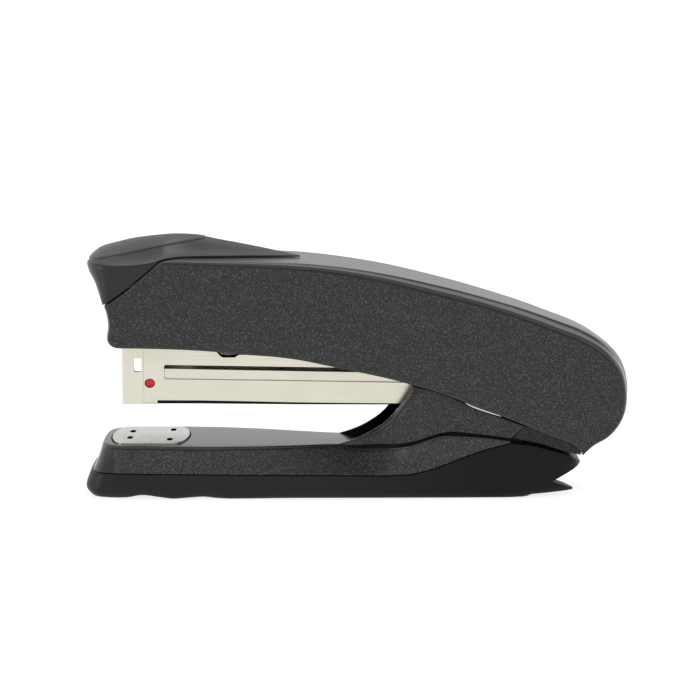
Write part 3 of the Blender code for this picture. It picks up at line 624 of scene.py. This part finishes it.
# Half of the cap's rim, from the tip of its tongue round to the middle of the nose:
# (x, half width, height of the crease, x at the lower rim, half width there, height there).
TONGUE = [(-15.8, 0.5), (-20.0, 1.9), (-26.0, 3.8), (-35.0, 6.2), (-41.0, 7.6), (-46.5, 9.2),
          (-49.6, 11.0), (-51.4, 12.9)]
BEAK = [(-52.6, 14.5, 65.55, -52.6, 14.5, 65.3), (-54.2, 15.7, 65.1, -54.2, 15.75, 64.4),
        (-57.0, 16.1, 64.5, -57.0, 16.25, 62.1), (-62.0, 16.1, 64.0, -62.0, 16.35, 57.95),
        (-66.0, 15.9, 63.8, -66.0, 16.3, 54.95), (-69.0, 15.1, 63.8, -67.7, 16.1, 53.8),
        (-71.2, 13.4, 63.8, -68.7, 15.1, 53.2), (-72.7, 11.0, 63.8, -69.2, 12.8, 52.95),
        (-73.6, 8.0, 63.8, -69.5, 9.4, 52.9), (-74.2, 4.5, 63.8, -69.75, 5.2, 52.9),
        (-74.5, 0.0, 63.8, -69.9, 0.0, 52.9)]
PEAK = smooth([(-74.5, 63.9), (-74.0, 65.1), (-73.0, 65.9), (-70.9, 66.85), (-66.5, 68.5),
               (-62.1, 69.6), (-58.5, 70.15), (-55.0, 70.55), (-50.0, 70.9), (-44.7, 70.7),
               (-38.0, 69.5), (-32.0, 68.4), (-26.0, 67.2), (-20.0, 65.9), (-15.8, 65.0)])
NOSE_PROFILE = smooth([(0.0, 0.0), (0.28, 0.26), (0.55, 0.52), (0.80, 0.88), (1.0, 1.0)])
NOSE_X = -74.5
FAN_X = -64.0    # ahead of this the columns fan out round the nose
PAD_BACK = -41.9


def rim_columns():
    tongue = [(x, half, TOP_LINE(x) + SEAM_GAP + 0.35, x, half, TOP_LINE(x) + SEAM_GAP)
              for x, half in TONGUE]
    return flowing(tongue + BEAK, 1.0)


def cap_column(rim):
    """Points of one column: up the wall, round the crease, then over to the spine."""
    x, half, crease, low_x, low_half, low_z = rim
    front = max(0.0, (FAN_X - x) / (FAN_X - NOSE_X))
    wall = []
    for k in range(9):
        t = k / 8
        across = NOSE_PROFILE(t) if x < FAN_X else t
        flat = mix((low_x, low_half), (x, half), across)
        wall.append((*flat, low_z + (crease - low_z) * t))
    spine_x = x if x > FAN_X else FAN_X - 4.5 * front
    peak = PEAK(spine_x)
    roof = []
    for k in range(1, 13):
        t = k / 12
        side = 0.3 * t + 0.7 * (0.5 - 0.5 * math.cos(math.pi * t))
        nose = math.sin(math.pi / 2 * t) ** 0.85
        flat = mix((x, half), (spine_x, 0.0), t)
        roof.append((*flat, crease + (peak - crease) * (side + (nose - side) * front)))
    turn = min(0.9, 0.9 * math.dist(wall[-2], wall[-1]))
    turn_after = min(turn, 0.9 * math.dist(wall[-1], roof[0]))
    bend = rounded_corner(wall[-2], wall[-1], roof[0], turn, turn_after)
    return wall[:-1] + bend + roof


def pad_plane(x, y):
    """Height of the slanted plane that holds the thumb pad's edge."""
    return 64.1 + 0.222 * (x + 72.3) + 0.158 * (y - 6.0)


def pad_rim(height):
    """(edge, middle) pairs round the thumb pad, where pad_plane meets the cap's surface."""
    rays = []
    for k in range(25):
        x = PAD_BACK - 0.05 - 0.9 * k
        rays.append(((x, 0.0), (x, 16.0)))
    for k in range(1, 25):
        angle = math.pi / 2 * (1 + k / 24)
        front = (FAN_X + 9.9 * math.cos(angle), 14.4 * math.sin(angle))
        rays.append(((FAN_X + 2.0 * math.cos(angle), 0.0), front))
    pairs = []
    for middle, end in rays:
        found = end
        for step in range(1, 121):
            x, y = mix(middle, end, step / 120)
            if height(x, y) < pad_plane(x, y):
                found = (x, y)
                break
        pairs.append((found, middle))
    (x, half), middle = pairs[0]
    blunt = [((x, half * 0.45), middle), ((x, half * 0.85), middle)]
    return blunt + pairs[1:]


def pad_body(height, rim, grow, rise, sink):
    """Thumb pad on the cap's surface; height(x, y) is that surface."""
    columns = []
    for edge, middle in rim:
        reach = max(math.dist(edge, middle), 0.3)
        edge = mix(middle, edge, 1.0 + grow / reach)
        shoulder = 0.35 / (reach + 0.4)
        steps = [(0.0, 0.15), (0.12 / (reach + 0.4), 0.75)]
        steps += [(shoulder * (1 - k / 8) + k / 8, 1.0) for k in range(9)]
        column = [(*edge, height(*edge) - sink)]
        for inwards, part in steps:
            spot = mix(edge, middle, inwards)
            column.append((*spot, height(*spot) + rise * part))
        columns.append(column)
    return two_sided(columns)


def make_nose():
    """Nose cap, and the thumb pad let into it."""
    bm = two_sided([cap_column(rim) for rim in rim_columns()])
    tree = BVHTree.FromBMesh(bm)

    def height(x, y):
        hit = tree.ray_cast(Vector((x, y, 90.0)), Vector((0.0, 0.0, -1.0)))[0]
        return hit.z if hit else 63.8

    rim = pad_rim(height)
    cap = plain_object("nose_cap_skin", bm, [CAP])
    worked(cap, [pad_body(height, rim, 0.5, 2.0, 1.0)])
    finished(cap, "handle", ["nose_cap"])
    pad = plain_object("nose_pad", pad_body(height, rim, 0.0, 0.18, 0.8), [PAD])
    finished(pad, "handle", ["nose_insert"])


# ---- base ----
ANVIL_LOW, ANVIL_HIGH = corner_points("anvil_plate")
ANVIL_X = middle_of("anvil_plate").x
SHOE_HALF = smooth([(-68.0, 17.7), (-60.0, 18.4), (-20.0, 18.2), (20.0, 17.6), (45.0, 16.8),
                    (48.0, 15.8), (52.0, 14.9), (55.0, 14.0), (58.0, 12.9), (60.0, 11.5), (61.4, 9.5)])
SHOE_RIM_HALF = smooth([(-60.0, 17.6), (-20.0, 17.4), (20.0, 16.8), (45.0, 16.0), (54.0, 15.2),
                        (58.0, 14.2), (60.0, 12.6), (61.4, 9.0)])
SHOE_UNDER = smooth([(-75.2, 1.7), (-74.2, 0.8), (-71.0, 0.15), (-63.6, 0.3), (-58.6, 1.0),
                     (-54.4, 0.5), (-50.2, 0.0), (-46.5, 0.25), (-41.9, 0.55), (-38.5, 0.2),
                     (-34.5, 0.0), (-15.6, 0.15), (42.0, 0.1), (44.0, 0.2), (47.7, 0.7),
                     (52.0, 0.9), (58.0, 1.2), (61.0, 1.4)])
SEAM = smooth([(-75.2, 6.0), (-73.2, 6.6), (-67.4, 6.9), (-29.2, 6.6), (-4.7, 6.4), (6.0, 6.3),
               (13.0, 6.5), (17.0, 7.2), (21.3, 8.4), (28.6, 11.2), (34.8, 13.4), (42.0, 15.2)])
TAIL_TOP = smooth([(42.0, 15.3), (47.4, 14.6), (52.7, 13.2), (57.4, 11.7), (59.5, 10.5),
                   (61.4, 9.1)])
EDGE_HALF = smooth([(-60.0, 14.2), (-50.0, 14.9), (-42.9, 14.9), (-29.3, 13.5), (-15.7, 10.6),
                    (-5.3, 8.5), (0.0, 8.8), (4.0, 9.4), (8.0, 10.9), (12.0, 13.3), (14.0, 14.7),
                    (17.0, 15.5), (42.0, 15.7)])
EDGE_Z = smooth([(-72.0, 14.2), (-50.0, 14.1), (-42.9, 14.0), (-29.3, 13.85), (-15.7, 13.65),
                 (-5.3, 13.55), (0.0, 12.6), (6.3, 12.9), (9.5, 13.2), (14.1, 14.2), (17.2, 15.3),
                 (19.8, 16.2), (24.0, 17.2), (33.0, 16.8), (41.6, 15.8)])
GLOSS_X = -66.6    # ahead of this the cover's side is glossy
RIM_BAND = smooth([(-66.0, 1.2), (-50.0, 1.0), (0.0, 1.0), (12.0, 0.55), (41.6, 0.4)])
TRAY_FLOOR = 2.2
FEET = ("foot_front_left", "foot_front_right", "foot_rear_left", "foot_rear_right")
SCREWS = ("base_screw_1", "base_screw_2", "base_screw_3")

# Front of the cover: (x, half width) along its upper edge, then along its lower rim.
COVER_FRONT = [(-60.0, 14.2, -60.5, 17.25), (-64.5, 13.8, -66.0, 16.9), (-67.6, 12.5, -70.2, 15.2),
               (-69.4, 10.0, -72.2, 11.9), (-70.1, 6.0, -72.9, 7.4), (-70.3, 0.0, -73.1, 0.0)]
# Front of the shoe: the same along its upper rim, its widest line and its under edge.
SHOE_FRONT = [(-62.0, 17.5, -62.0, 18.35, -62.0, 17.1), (-67.0, 16.8, -68.0, 17.6, -67.4, 16.3),
              (-70.8, 15.1, -72.2, 15.9, -71.2, 14.6), (-72.9, 12.0, -74.4, 12.6, -73.2, 11.4),
              (-73.5, 7.5, -75.1, 7.9, -73.9, 7.0), (-73.7, 0.0, -75.2, 0.0, -74.1, 0.0)]


def cover_columns():
    """(x, half, z) of the upper edge and of the lower rim, from the rear round to the front."""
    rims = []
    for k in range(104):
        x = 41.6 - 0.98 * k
        rims.append((x, EDGE_HALF(x), x, max(SHOE_HALF(x) - 1.0, EDGE_HALF(x) + 0.2)))
    rims += flowing(COVER_FRONT, 0.8)
    return [((x, half, EDGE_Z(x)), (low_x, low_half, SEAM(low_x) + 0.25))
            for x, half, low_x, low_half in rims]


def cover_column(top, rim):
    """Points of one column: from the spine out over the upper edge and down the side."""
    top = Vector(top)
    rim = Vector(rim)
    spine = Vector((max(top.x, -64.0 + (top.x + 64.0) * 0.3), 0.0, top.z + 0.12))
    down = (rim - top).normalized()
    out = Vector((down.x, down.y, 0.0)).normalized()
    depth = (rim - top).length
    band = min(RIM_BAND(top.x), 0.4 * depth)
    corner = rounded_corner(spine, top, rim, 0.38 * band)
    side = []
    for place, sink in ((0.45, 0.0), (0.58, 0.22), (0.75, 0.28), (0.9, 0.12), (1.0, 0.0)):
        side.append(top + (down * place - out * sink) * band)
    for k in range(1, 9):
        t = k / 8
        flare = -0.22 * math.sin(math.pi * t)
        side.append(top + down * (band + (depth - band) * t) + out * (flare * min(1.0, depth / 5)))
    inner = [spine.lerp(corner[0], k / 4) for k in range(4)]
    return inner + corner + side


def make_cover():
    """Base cover: smooth top, textured sides, hollow under it, and a pocket for the anvil."""
    bm = bmesh.new()
    far, near = mirrored(bm, [cover_column(*rims) for rims in cover_columns()])
    first_side = 4 + 5 + 4    # points along the top, round its corner and down its groove
    for rows in (far, near[::-1]):
        sheet_of(bm, [row[:first_side + 1] for row in rows], 1)
        for face in sheet_of(bm, [row[first_side:] for row in rows], 0):
            if face.calc_center_median().x < GLOSS_X:
                face.material_index = 3
    # The faces underneath take material 2: painted shade in near black.
    sheet_of(bm, [[a[-1], b[-1]] for a, b in zip(far, near)], 2)
    bm.faces.new(far[0] + near[0][:0:-1]).material_index = 0
    cover = plain_object("base_top_cover", bm, [BASE_PANEL, BASE_SATIN, PAINTED_SHADE_INSIDE, GLOSS])
    wall = 1.5
    hollow = []
    for x in (-70.4, -69.0, -66.0, -60.0, -50.0, -33.0, -16.0, -4.0, 6.0, 17.1, 23.9, 33.0, 46.0):
        half = {-70.4: 7.5, -69.0: 10.4, -66.0: 12.6}.get(x, EDGE_HALF(x)) - wall
        foot = max(min(SHOE_HALF(x), 14.6 + (x + 70.4) * 0.9) - 1.0 - wall, half)
        z = EDGE_Z(x) - wall
        hollow.append([(x, -foot, 2.0), (x, -half, z), (x, half, z), (x, foot, 2.0)])
    pocket = scaled(anvil_outline(), (ANVIL_X, 0.0), 1.012, 1.01)
    # The hollow, the cut under the yoke and the anvil pocket take material 2: painted shade in near
    # black.
    worked(cover, [loft(hollow, 2), box(14.0, 60.0, -14.1, 14.1, -5.0, 40.0, 2),
                   plate_xy(pocket, 11.0, 20.0, 2),
                   turned(ANVIL_X, 0.0, [(5.0, 2.4), (20.0, 2.4)], material=2)])
    finished(cover, "base", ["base_cover"])


def shoe_column(x, half, wide_x, wide_half, low_x, low_half):
    """Points of one column of the shoe's wall, from its rim down to its under edge."""
    rim_z = SEAM(x) if x <= 42.0 else TAIL_TOP(x)
    under = SHOE_UNDER(x)
    rim = Vector((x, half, rim_z))
    wide = Vector((wide_x, wide_half, under + 1.9))
    low = Vector((low_x, low_half, under))
    inner = Vector((low.x + (x - low.x) * 0.5, max(low.y - 3.0, 0.0), under))
    lip = rim + Vector((0.0, -1.0, 0.0) if half > 1.0 else (1.0, 0.0, 0.0))
    top = rounded_corner(lip, rim, wide, 0.3, steps=2)
    belly = rounded_corner(rim, wide, low, 1.3)
    foot = rounded_corner(wide, low, inner, 0.7)
    side = [top[-1].lerp(belly[0], k / 5) for k in range(1, 5)]
    return top + side + belly + foot


def make_shoe():
    """Base shoe: a tray with a forked heel, open for the screws, feet and anvil button."""
    stations = [61.4, 61.0, 60.4, 59.4, 57.8] + [56.0 - 2 * k for k in range(7)]
    stations += [42.02, 41.98] + [41.0 - k for k in range(103)]
    rims = [(x, SHOE_RIM_HALF(x), x, SHOE_HALF(x), x, SHOE_HALF(x) - 1.3) for x in stations]
    rims += flowing(SHOE_FRONT, 0.8)
    bm = bmesh.new()
    far, near = mirrored(bm, [shoe_column(*rim) for rim in rims])
    sheet_of(bm, far)
    sheet_of(bm, near[::-1])
    for end in (0, -1):
        sheet_of(bm, [[a[end], b[end]] for a, b in zip(far, near)])
    bm.faces.new(far[0] + near[0][::-1])
    shoe = plain_object("base_shoe_skin", bm, [SHOE, LIT_SHOE_FIN])
    tray = []
    for x, half in ((-71.0, 9.0), (-68.0, 13.4), (-60.0, 15.6), (-20.0, 15.6), (20.0, 15.1),
                    (46.2, 14.3)):
        tray.append([(x, half, TRAY_FLOOR), (x, half, 30.0), (x, -half, 30.0), (x, -half, TRAY_FLOOR)])
    notch = [(53.3, 4.3), (57.0, 3.0), (59.3, 1.9), (59.3, -3.0), (66.0, -3.0), (66.0, 11.3),
             (61.0, 8.4)]
    holes = [turned(ANVIL_X, 0.0, [(-2.0, 6.0), (4.0, 6.0)])]
    for nodes, radius, top, sides in ((SCREWS, 2.8, 4.0, 32), (FEET, 4.3, 1.4, 48)):
        for node in nodes:
            middle = middle_of(node)
            hole = [(-2.0, radius), (top, radius)]
            holes.append(turned(middle.x, middle.y, hole, sides))
    # The notch and the cut under the heel take material 1, the lighter plastic: painted light.
    worked(shoe, [loft(tray), plate_xz(notch, -25.0, 25.0, 1),
                  box(54.2, 66.0, -9.3, 9.3, -3.0, 4.8, 1)] + holes)
    finished(shoe, "base", ["base_shoe"])


def flank(outline, y_out, y_in, panel, rim, inner):
    """Moulded side wall: grooved and rounded outside, flat inside."""
    bm = bmesh.new()
    sign = 1.0 if y_out > y_in else -1.0
    table = [edge_rows(x, reach, groove, reach, 0.0, abs(y_out))[:13]
             for x, z, reach, groove in outline]
    lines = []
    for k in range(13):
        path = inset(outline, [rows[k][0] for rows in table], closed=True)
        lines.append([bm.verts.new((x, sign * rows[k][1], z))
                      for (x, z), rows in zip(path, table)])
    back = [bm.verts.new((point[0], y_in, point[1])) for point in outline]
    sheet_of(bm, lines + [back], rim, closed=True)
    bm.faces.new(lines[0]).material_index = panel
    bm.faces.new(back[::-1]).material_index = inner
    return bm


def drawn_in(obj, pinch):
    """Narrow the front of a yoke half; the cuts give its flat panels points to bend at."""
    bm = bmesh.new()
    bm.from_mesh(obj.data)
    for k in range(15):
        everything = bm.verts[:] + bm.edges[:] + bm.faces[:]
        bmesh.ops.bisect_plane(bm, geom=everything, plane_co=((17.0 - 1.4 * k) * MM, 0.0, 0.0),
                               plane_no=(1.0, 0.0, 0.0))
    for vert in bm.verts:
        vert.co.y *= pinch(vert.co.x / MM) / FLANK_OUT
    bm.to_mesh(obj.data)
    bm.free()


def edged(height, groove, *points):
    """Outline points that share the height of their edge and the groove beside it."""
    return [(x, z, height, groove) for x, z in points]


def make_yoke():
    """Two halves of the rear housing, each a textured side and half of the floor."""
    front = ([(-4.9, 13.6, 0.08, 0.0), (-2.4, 14.35, 0.15, 0.15), (0.0, 15.25, 0.35, 0.4),
              (4.1, 17.4, 0.7, 1.0)]
             + edged(0.9, 1.4, (7.6, 19.95), (11.0, 24.1), (13.4, 27.7), (15.0, 30.8)))
    top = ([(15.0, 30.8, 0.3, 0.3)]
           + edged(0.2, 0.0, (21.3, 29.35), (26.5, 27.35), (29.0, 26.1), (31.7, 24.8),
                   (35.6, 23.4), (39.5, 22.05), (45.9, 19.7)))
    rear = edged(0.3, 0.0, (45.9, 19.7), (42.0, 16.3))
    under = (edged(0.2, 0.0, (42.0, 16.3), (33.0, 17.4), (24.2, 18.0), (19.8, 16.8), (17.2, 15.9),
                   (14.1, 14.95))
             + edged(0.15, 0.0, (9.4, 14.05), (6.3, 13.8))
             + [(0.0, 13.3, 0.1, 0.0), (-4.9, 13.15, 0.08, 0.0)])
    pinch = smooth([(-6.0, 8.2), (0.0, 8.4), (4.0, 8.9), (8.0, 10.3), (12.0, 12.6), (17.0, 14.6)])
    outline = joined((front, top, rear, under), 0.7)
    skirt = [(14.4, 11.5), (14.4, 12.6), (9.0, 12.3), (-4.2, 12.3), (-4.2, 13.4), (0.0, 14.6),
             (4.0, 16.3), (14.0, 18.0), (23.9, 19.5), (41.6, 17.5), (38.0, 11.5)]
    for side, name in ((-1, "left"), (1, "right")):
        half = plain_object(f"yoke_{name}_shell",
                            flank(outline, side * FLANK_OUT, side * FLANK_IN, 0, 1, 2),
                            [PANEL, PAINTED_SHADE_RIM, PAINTED_SHADE_INSIDE])
        # The skirt, the floor and the cuts take material 2, and so does the flat inside face: painted
        # shade in near black.
        wall = plate_xz(skirt, *span(side, FLANK_IN - 0.4, FLANK_OUT - 0.95), 2)
        floor = box(14.4, 38.0, *span(side, 0.15, FLANK_IN + 0.2), 11.5, 12.9, 2)
        worked(half, [wall, floor], "UNION")
        worked(half, [box(12.0, 42.0, -5.0, 5.0, 5.0, 20.0, 2),
                      turned(4.0, 0.0, [(5.0, 1.5), (20.0, 1.5)], 24, 2)])
        drawn_in(half, pinch)
        finished(half, "base", [f"yoke_{name}"])


def make_handle_tail():
    """Lower rear shell of the handle, under the seam at the heel."""
    outline = [(42.4, 16.4), (50.0, 14.85), (57.9, 12.4), (61.2, 11.75), (60.9, 13.4), (59.4, 15.0),
               (46.4, 20.3)]
    tail = plain_object("handle_tail_shell", plate_xz(outline, -FLANK_OUT, FLANK_OUT),
                        [SHADED_TAIL_GRAIN, SATIN, PAINTED_SHADE_INSIDE])
    hollow = [(38.0, 16.9), (50.0, 16.4), (57.0, 13.9), (57.0, 26.0), (38.0, 26.0)]
    # The hollow's faces take material 2: painted shade in near black.
    worked(tail, [plate_xz(hollow, -FLANK_IN, FLANK_IN, 2), box(38.0, 49.8, -12.4, 12.4, 10.0, 20.0, 2)])
    soften(tail, 0.25)
    finished(tail, "handle", ["handle_tail"])


# ---- anvil ----
def stadium(x, y, half_length, radius, steps=8):
    """Outline of a slot that runs along Y."""
    return (arc(x, y + half_length, radius, 0, 180, steps)
            + arc(x, y - half_length, radius, 180, 360, steps))


def anvil_outline():
    """Rounded plate with slightly bulging ends."""
    half_x = (ANVIL_HIGH.x - ANVIL_LOW.x) / 2
    half_y = ANVIL_HIGH.y
    bulge = 34.0
    swing = math.degrees(math.asin((half_y - 3.0) / bulge))
    end = arc(half_x - bulge, 0.0, bulge, -swing, swing, 16)
    corner_x = end[-1][0] - 2.8
    corner = arc(corner_x, half_y - 3.0, 3.0, 75, 90, 3)
    quarter = [(end[-1][0] - 0.35, half_y - 1.9), (end[-1][0] - 1.3, half_y - 0.65)] + corner
    right = [(x, -y) for x, y in quarter[::-1]] + end + quarter
    outline = right + [(-x, -y) for x, y in right]
    return [(x + ANVIL_X, y) for x, y in outline]


def make_anvil():
    """Anvil plate with two pairs of pockets and a mark in the middle."""
    bottom = ANVIL_LOW.z - 0.5
    top = ANVIL_HIGH.z - 0.45
    outline = scaled(anvil_outline(), (ANVIL_X, 0.0), 0.975, 0.975)
    plate = plain_object("anvil_plate_formed", plate_xy(outline, bottom, top), [ANVIL, PAINTED_SHADE_INSIDE])
    # The pockets are cut with material 1: painted shade in near black; the middle mark keeps the steel.
    tools = []
    for x, y in ((-5.5, 4.5), (5.7, 6.9)):
        for sign in (-1, 1):
            centre = (ANVIL_X + x, sign * y)
            slot = stadium(*centre, 1.1, 0.75)
            floor = scaled(slot, centre, 0.8, 0.85)
            tools.append(stacked([(floor, -0.7), (slot, -0.1), (slot, 1.0)], top, 1))
    tools.append(stacked([(stadium(ANVIL_X, 0.0, 1.6, 0.22), -0.08),
                          (stadium(ANVIL_X, 0.0, 1.6, 0.3), 1.0)], top))
    worked(plate, tools)
    soften(plate, 0.09)
    finished(plate, "anvil", ["anvil_plate"])


# ---- magazine ----
CASE_LOW, CASE_HIGH = corner_points("magazine_case")
TRAY_LOW, TRAY_HIGH = corner_points("staple_drawer")
PIVOT = middle_of("pivot_pin")
CASE_OUT = CASE_HIGH.y
CASE_IN = CASE_OUT - 0.5
TRAY_OUT = 7.1
TRAY_IN = 6.6
DOT_X = -57.0
DOT_Z = 30.5


def dot_outline(half_x, half_z):
    """Outline of the oval hole in front of the red flag."""
    return [(DOT_X + x * half_x, DOT_Z + z * half_z) for x, z in circle(0.0, 0.0, 1.0, 40)]


def make_case():
    """Outer channel of the magazine, with a slot and a round hole in each side."""
    under = smooth([(-58.7, 25.75), (-43.0, 25.7), (-16.0, 25.15), (10.0, 24.9), (40.0, 24.8)])
    lower = [(x, under(x)) for x in (CASE_LOW.x, -43.0, -30.0, -16.0, 0.0, 10.0, 25.0, 40.0)]
    around = arc(PIVOT.x, PIVOT.z, 5.5, -105, 90, 24)
    shoulder = [(40.0, 38.4), (-32.4, 38.4), (-33.1, 38.0), (-33.7, 37.65), (-36.8, 37.65),
                (-37.5, 37.95), (-38.8, 39.4), (-40.6, 41.2)]
    outline = lower + around + shoulder + [(CASE_LOW.x, 41.2)]
    case = plain_object("magazine_channel", plate_xz(outline, -CASE_OUT, CASE_OUT),
                        [NICKEL, PAINTED_SHADE_INSIDE])
    inside = [(-70.0, 10.0), (70.0, 10.0), (70.0, 37.9), (-32.6, 37.9), (-32.6, 50.0),
              (-70.0, 50.0)]
    slot = (arc(-52.55, 35.1, 0.5, 90, 180, 4) + arc(-52.45, 32.2, 0.6, 180, 270, 4)
            + [(17.5, 30.6), (17.5, 34.5)])
    seat = box(-38.2, -33.4, -CASE_IN - 0.1, CASE_IN + 0.1, 36.5, 37.6, 1)
    # The inside of the channel and the seat take material 1: painted shade in near black instead of
    # nickel.
    worked(case, [plate_xz(inside, -CASE_IN, CASE_IN, 1), plate_xz(slot, -20.0, 20.0),
                  plate_xz(dot_outline(1.45, 1.3), -20.0, 20.0),
                  plate_xz(circle(PIVOT.x, PIVOT.z, 2.3, 40), -20.0, 20.0)])
    worked(case, [seat], "UNION")
    soften(case, 0.12)
    finished(case, "magazine", ["magazine_case"])


def make_drawer():
    """Staple drawer: a folded head, two walls and a floor."""
    low = TRAY_LOW.z
    front = TRAY_LOW.x
    back = CASE_LOW.x - 0.05
    head_top = TRAY_HIGH.z
    fold = 0.7
    head = arc(front + fold, -CASE_OUT + fold, fold, 180, 270, 6)
    head += [(back, -CASE_OUT), (back, -CASE_IN)]
    head += [(front + fold, -CASE_IN), (front + 0.5, -CASE_IN + 0.2)]
    head += [(x, -y) for x, y in head[::-1]]
    drawer = plain_object("staple_tray", plate_xy(head, low, head_top), [NICKEL, PAINTED_SHADE_INSIDE])
    wall = [(front + 0.3, 26.2), (TRAY_HIGH.x, 26.2), (TRAY_HIGH.x, 32.3), (27.0, 32.3),
            (24.0, 33.1), (-8.0, 33.55), (-53.0, 34.4), (front + 0.3, 34.4)]
    skid = [(-56.5, 26.4), (-55.0, 25.35), (-52.0, 24.85), (-43.0, 24.7), (-16.0, 24.45),
            (TRAY_HIGH.x, 24.35), (TRAY_HIGH.x, 26.4)]
    # The floor and the skids take material 1: painted shade in near black.
    parts = [box(-62.7, TRAY_HIGH.x, -TRAY_OUT, TRAY_OUT, low + 0.1, low + 0.5, 1)]
    for side in (-1, 1):
        tray_wall = span(side, TRAY_IN, TRAY_OUT)
        parts += [plate_xz(skid, *tray_wall, 1), plate_xz(wall, *tray_wall),
                  box(front + 0.2, back, *span(side, TRAY_IN, CASE_OUT - 0.1), low, low + 0.5),
                  box(-59.25, -55.0, *span(side, TRAY_IN, CASE_IN - 0.08), low + 0.3, 40.2)]
    worked(drawer, parts, "UNION")
    corners = ((0.75, 1.65, 0), (-0.75, 1.65, 90), (-0.75, -1.65, 180), (0.75, -1.65, 270))
    window = []
    for x, z, start in corners:
        window += arc(x - 60.3, z + 35.5, 0.25, start, start + 90, 3)
    far_window = [(-63.0, 31.3), (-60.5, 31.3), (-60.5, 37.0), (-63.0, 37.0)]
    worked(drawer, [plate_xz(window, -20.0, 0.0), plate_xz(far_window, 0.0, 20.0),
                    plate_xz(dot_outline(1.7, 1.5), -20.0, 20.0)])
    soften(drawer, 0.1)
    finished(drawer, "drawer", ["staple_drawer"])


def make_flag():
    """Red flag on the pusher: a clip whose sides show through the holes in the case."""
    low, high = corner_points("indicator_flag")
    outer = high.y
    inner = outer - 0.6
    half = [(inner, high.z - 0.6), (inner, low.z), (outer, low.z), (outer, high.z - 0.5),
            (outer - 0.5, high.z)]
    flag = plain_object("red_flag_clip", bar_x(both_sides(half), low.x, high.x), [RED])
    soften(flag, 0.1)
    finished(flag, "pusher", ["indicator_flag"])


def make_staples():
    """Glued staples, each a bent flat wire that straddles the rail."""
    low, high = corner_points("staple_strip")
    wire = 0.48
    count = int((high.x - low.x) / (wire + 0.03))
    pitch = (high.x - low.x) / count
    fold = 0.6
    outer = arc(high.y - fold, high.z - fold, fold, 90, 0, 5)
    inner = scaled([(y, z - wire) for y, z in outer[::-1]], (0.0, 0.0), 1.0 - wire / high.y, 1.0)
    section = both_sides(outer + [(high.y, low.z), (high.y - wire, low.z)] + inner)
    for i in range(count):
        start = low.x + i * pitch
        staple = plain_object(f"staple_{i + 1}", bar_x(section, start, start + wire), [WIRE])
        soften(staple, 0.08, 1)
        finished(staple, "drawer", ["staple_strip"])


# ---- springs ----
def coil(name, along, low, high, middle, radius, wire, turns, closed_turns=1.4):
    """Compression spring with closed ends, along x or z."""
    steps = 20
    pitch = 2 * wire * 1.06
    free = (high - low - 2 * closed_turns * pitch) / (turns - 2 * closed_turns)
    points = []
    for i in range(turns * steps + 1):
        turn = i / steps
        from_end = min(turn, turns - turn)
        place = pitch * min(from_end, closed_turns) + free * max(0.0, from_end - closed_turns)
        a = 2 * math.pi * turn
        point = [middle[0] + radius * math.cos(a), middle[1] + radius * math.sin(a)]
        point.insert("xyz".index(along), low + place if turn <= turns / 2 else high - place)
        points.append(point)
    return plain_object(name, tube_along(points, wire), [SPRING])


def bow(name, path, thickness, half, step=0.8):
    """Leaf spring: a bent strip."""
    line = flowing(path, step)
    upper = inset(line, [-thickness / 2] * len(line))
    lower = inset(line, [thickness / 2] * len(line))
    leaf = plain_object(name, plate_xz(lower + upper[::-1], -half, half), [SPRING])
    soften(leaf, 0.1)
    return leaf


def hang_spring(piece, body, node):
    """Hang a spring on its body."""
    finished(piece, body, [node])
    settled(piece)
    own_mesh(piece)


def make_springs():
    """Two coils and two leaves, each between the pieces that it pushes apart."""
    low, high = corner_points("pusher_spring")
    wire = 0.3
    rod = middle_of("pusher_spring")
    piece = coil("pusher_coil", "x", low.x + wire, high.x - wire, rod.yz, 1.75, wire, 26)
    hang_spring(piece, "drawer", "pusher_spring")

    low, high = corner_points("anvil_spring")
    wire = 0.35
    piece = coil("anvil_coil", "z", low.z + wire, high.z - wire, (ANVIL_X, 0.0), 3.2, wire, 5, 1.0)
    hang_spring(piece, "base", "anvil_spring")

    low, high = corner_points("magazine_return_spring")
    path = [(14.0, 14.1), (22.0, 14.4), (29.0, 19.0), (35.0, 23.2), (39.5, 23.6)]
    piece = bow("magazine_leaf", path, 0.5, high.y)
    hang_spring(piece, "base", "magazine_return_spring")

    low, high = corner_points("handle_return_spring")
    path = [(-38.4, 38.5), (-37.4, 37.95), (-35.4, 37.85), (-34.0, 38.0), (-32.7, 38.6),
            (-30.5, 38.8), (-18.0, 40.8), (-5.0, 47.0), (3.0, 49.3), (10.0, 49.2)]
    piece = bow("handle_leaf", path, 0.4, high.y)
    hang_spring(piece, "magazine", "handle_return_spring")


# ---- CAD nodes that keep their own shape ----
CARRIED = (
    (STEEL, 0.08, ("driver_blade",)),
    (STEEL, 0.1, ("driver_rivet_1", "driver_rivet_2", "handle_screw_1", "handle_screw_2",
                  "staple_rail", "guide_rod", "pusher", "anvil_post")),
    (STEEL, 0.15, ("handle_lever", "anvil_support") + SCREWS),
    (STEEL, 0.25, ("pivot_pin",)),
    (COATED, 0.15, ("base_frame",)),
    (NYLON, 0.2, ("pivot_bush",)),
    (NYLON, 0.25, ("magazine_end_block", "rail_end_block")),
    (SPRING, 0.1, ("drawer_catch", "pivot_clip_left", "pivot_clip_right")),
    (RUBBER, 0.15, FEET),
    (BLACK, 0.2, ("anvil_button",)),
)


def carry_nodes():
    """Give the CAD nodes that stay a material and rounded edges."""
    for material, width, nodes in CARRIED:
        for node in nodes:
            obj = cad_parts[node]
            obj.data.materials.clear()
            obj.data.materials.append(material)
            soften(obj, width)


make_camera()
make_floor()
make_lights()
make_handle_shell()
make_edge_highlights()
make_nose()
make_cover()
make_shoe()
make_yoke()
make_handle_tail()
make_anvil()
make_case()
make_drawer()
make_flag()
make_staples()
make_springs()
carry_nodes()
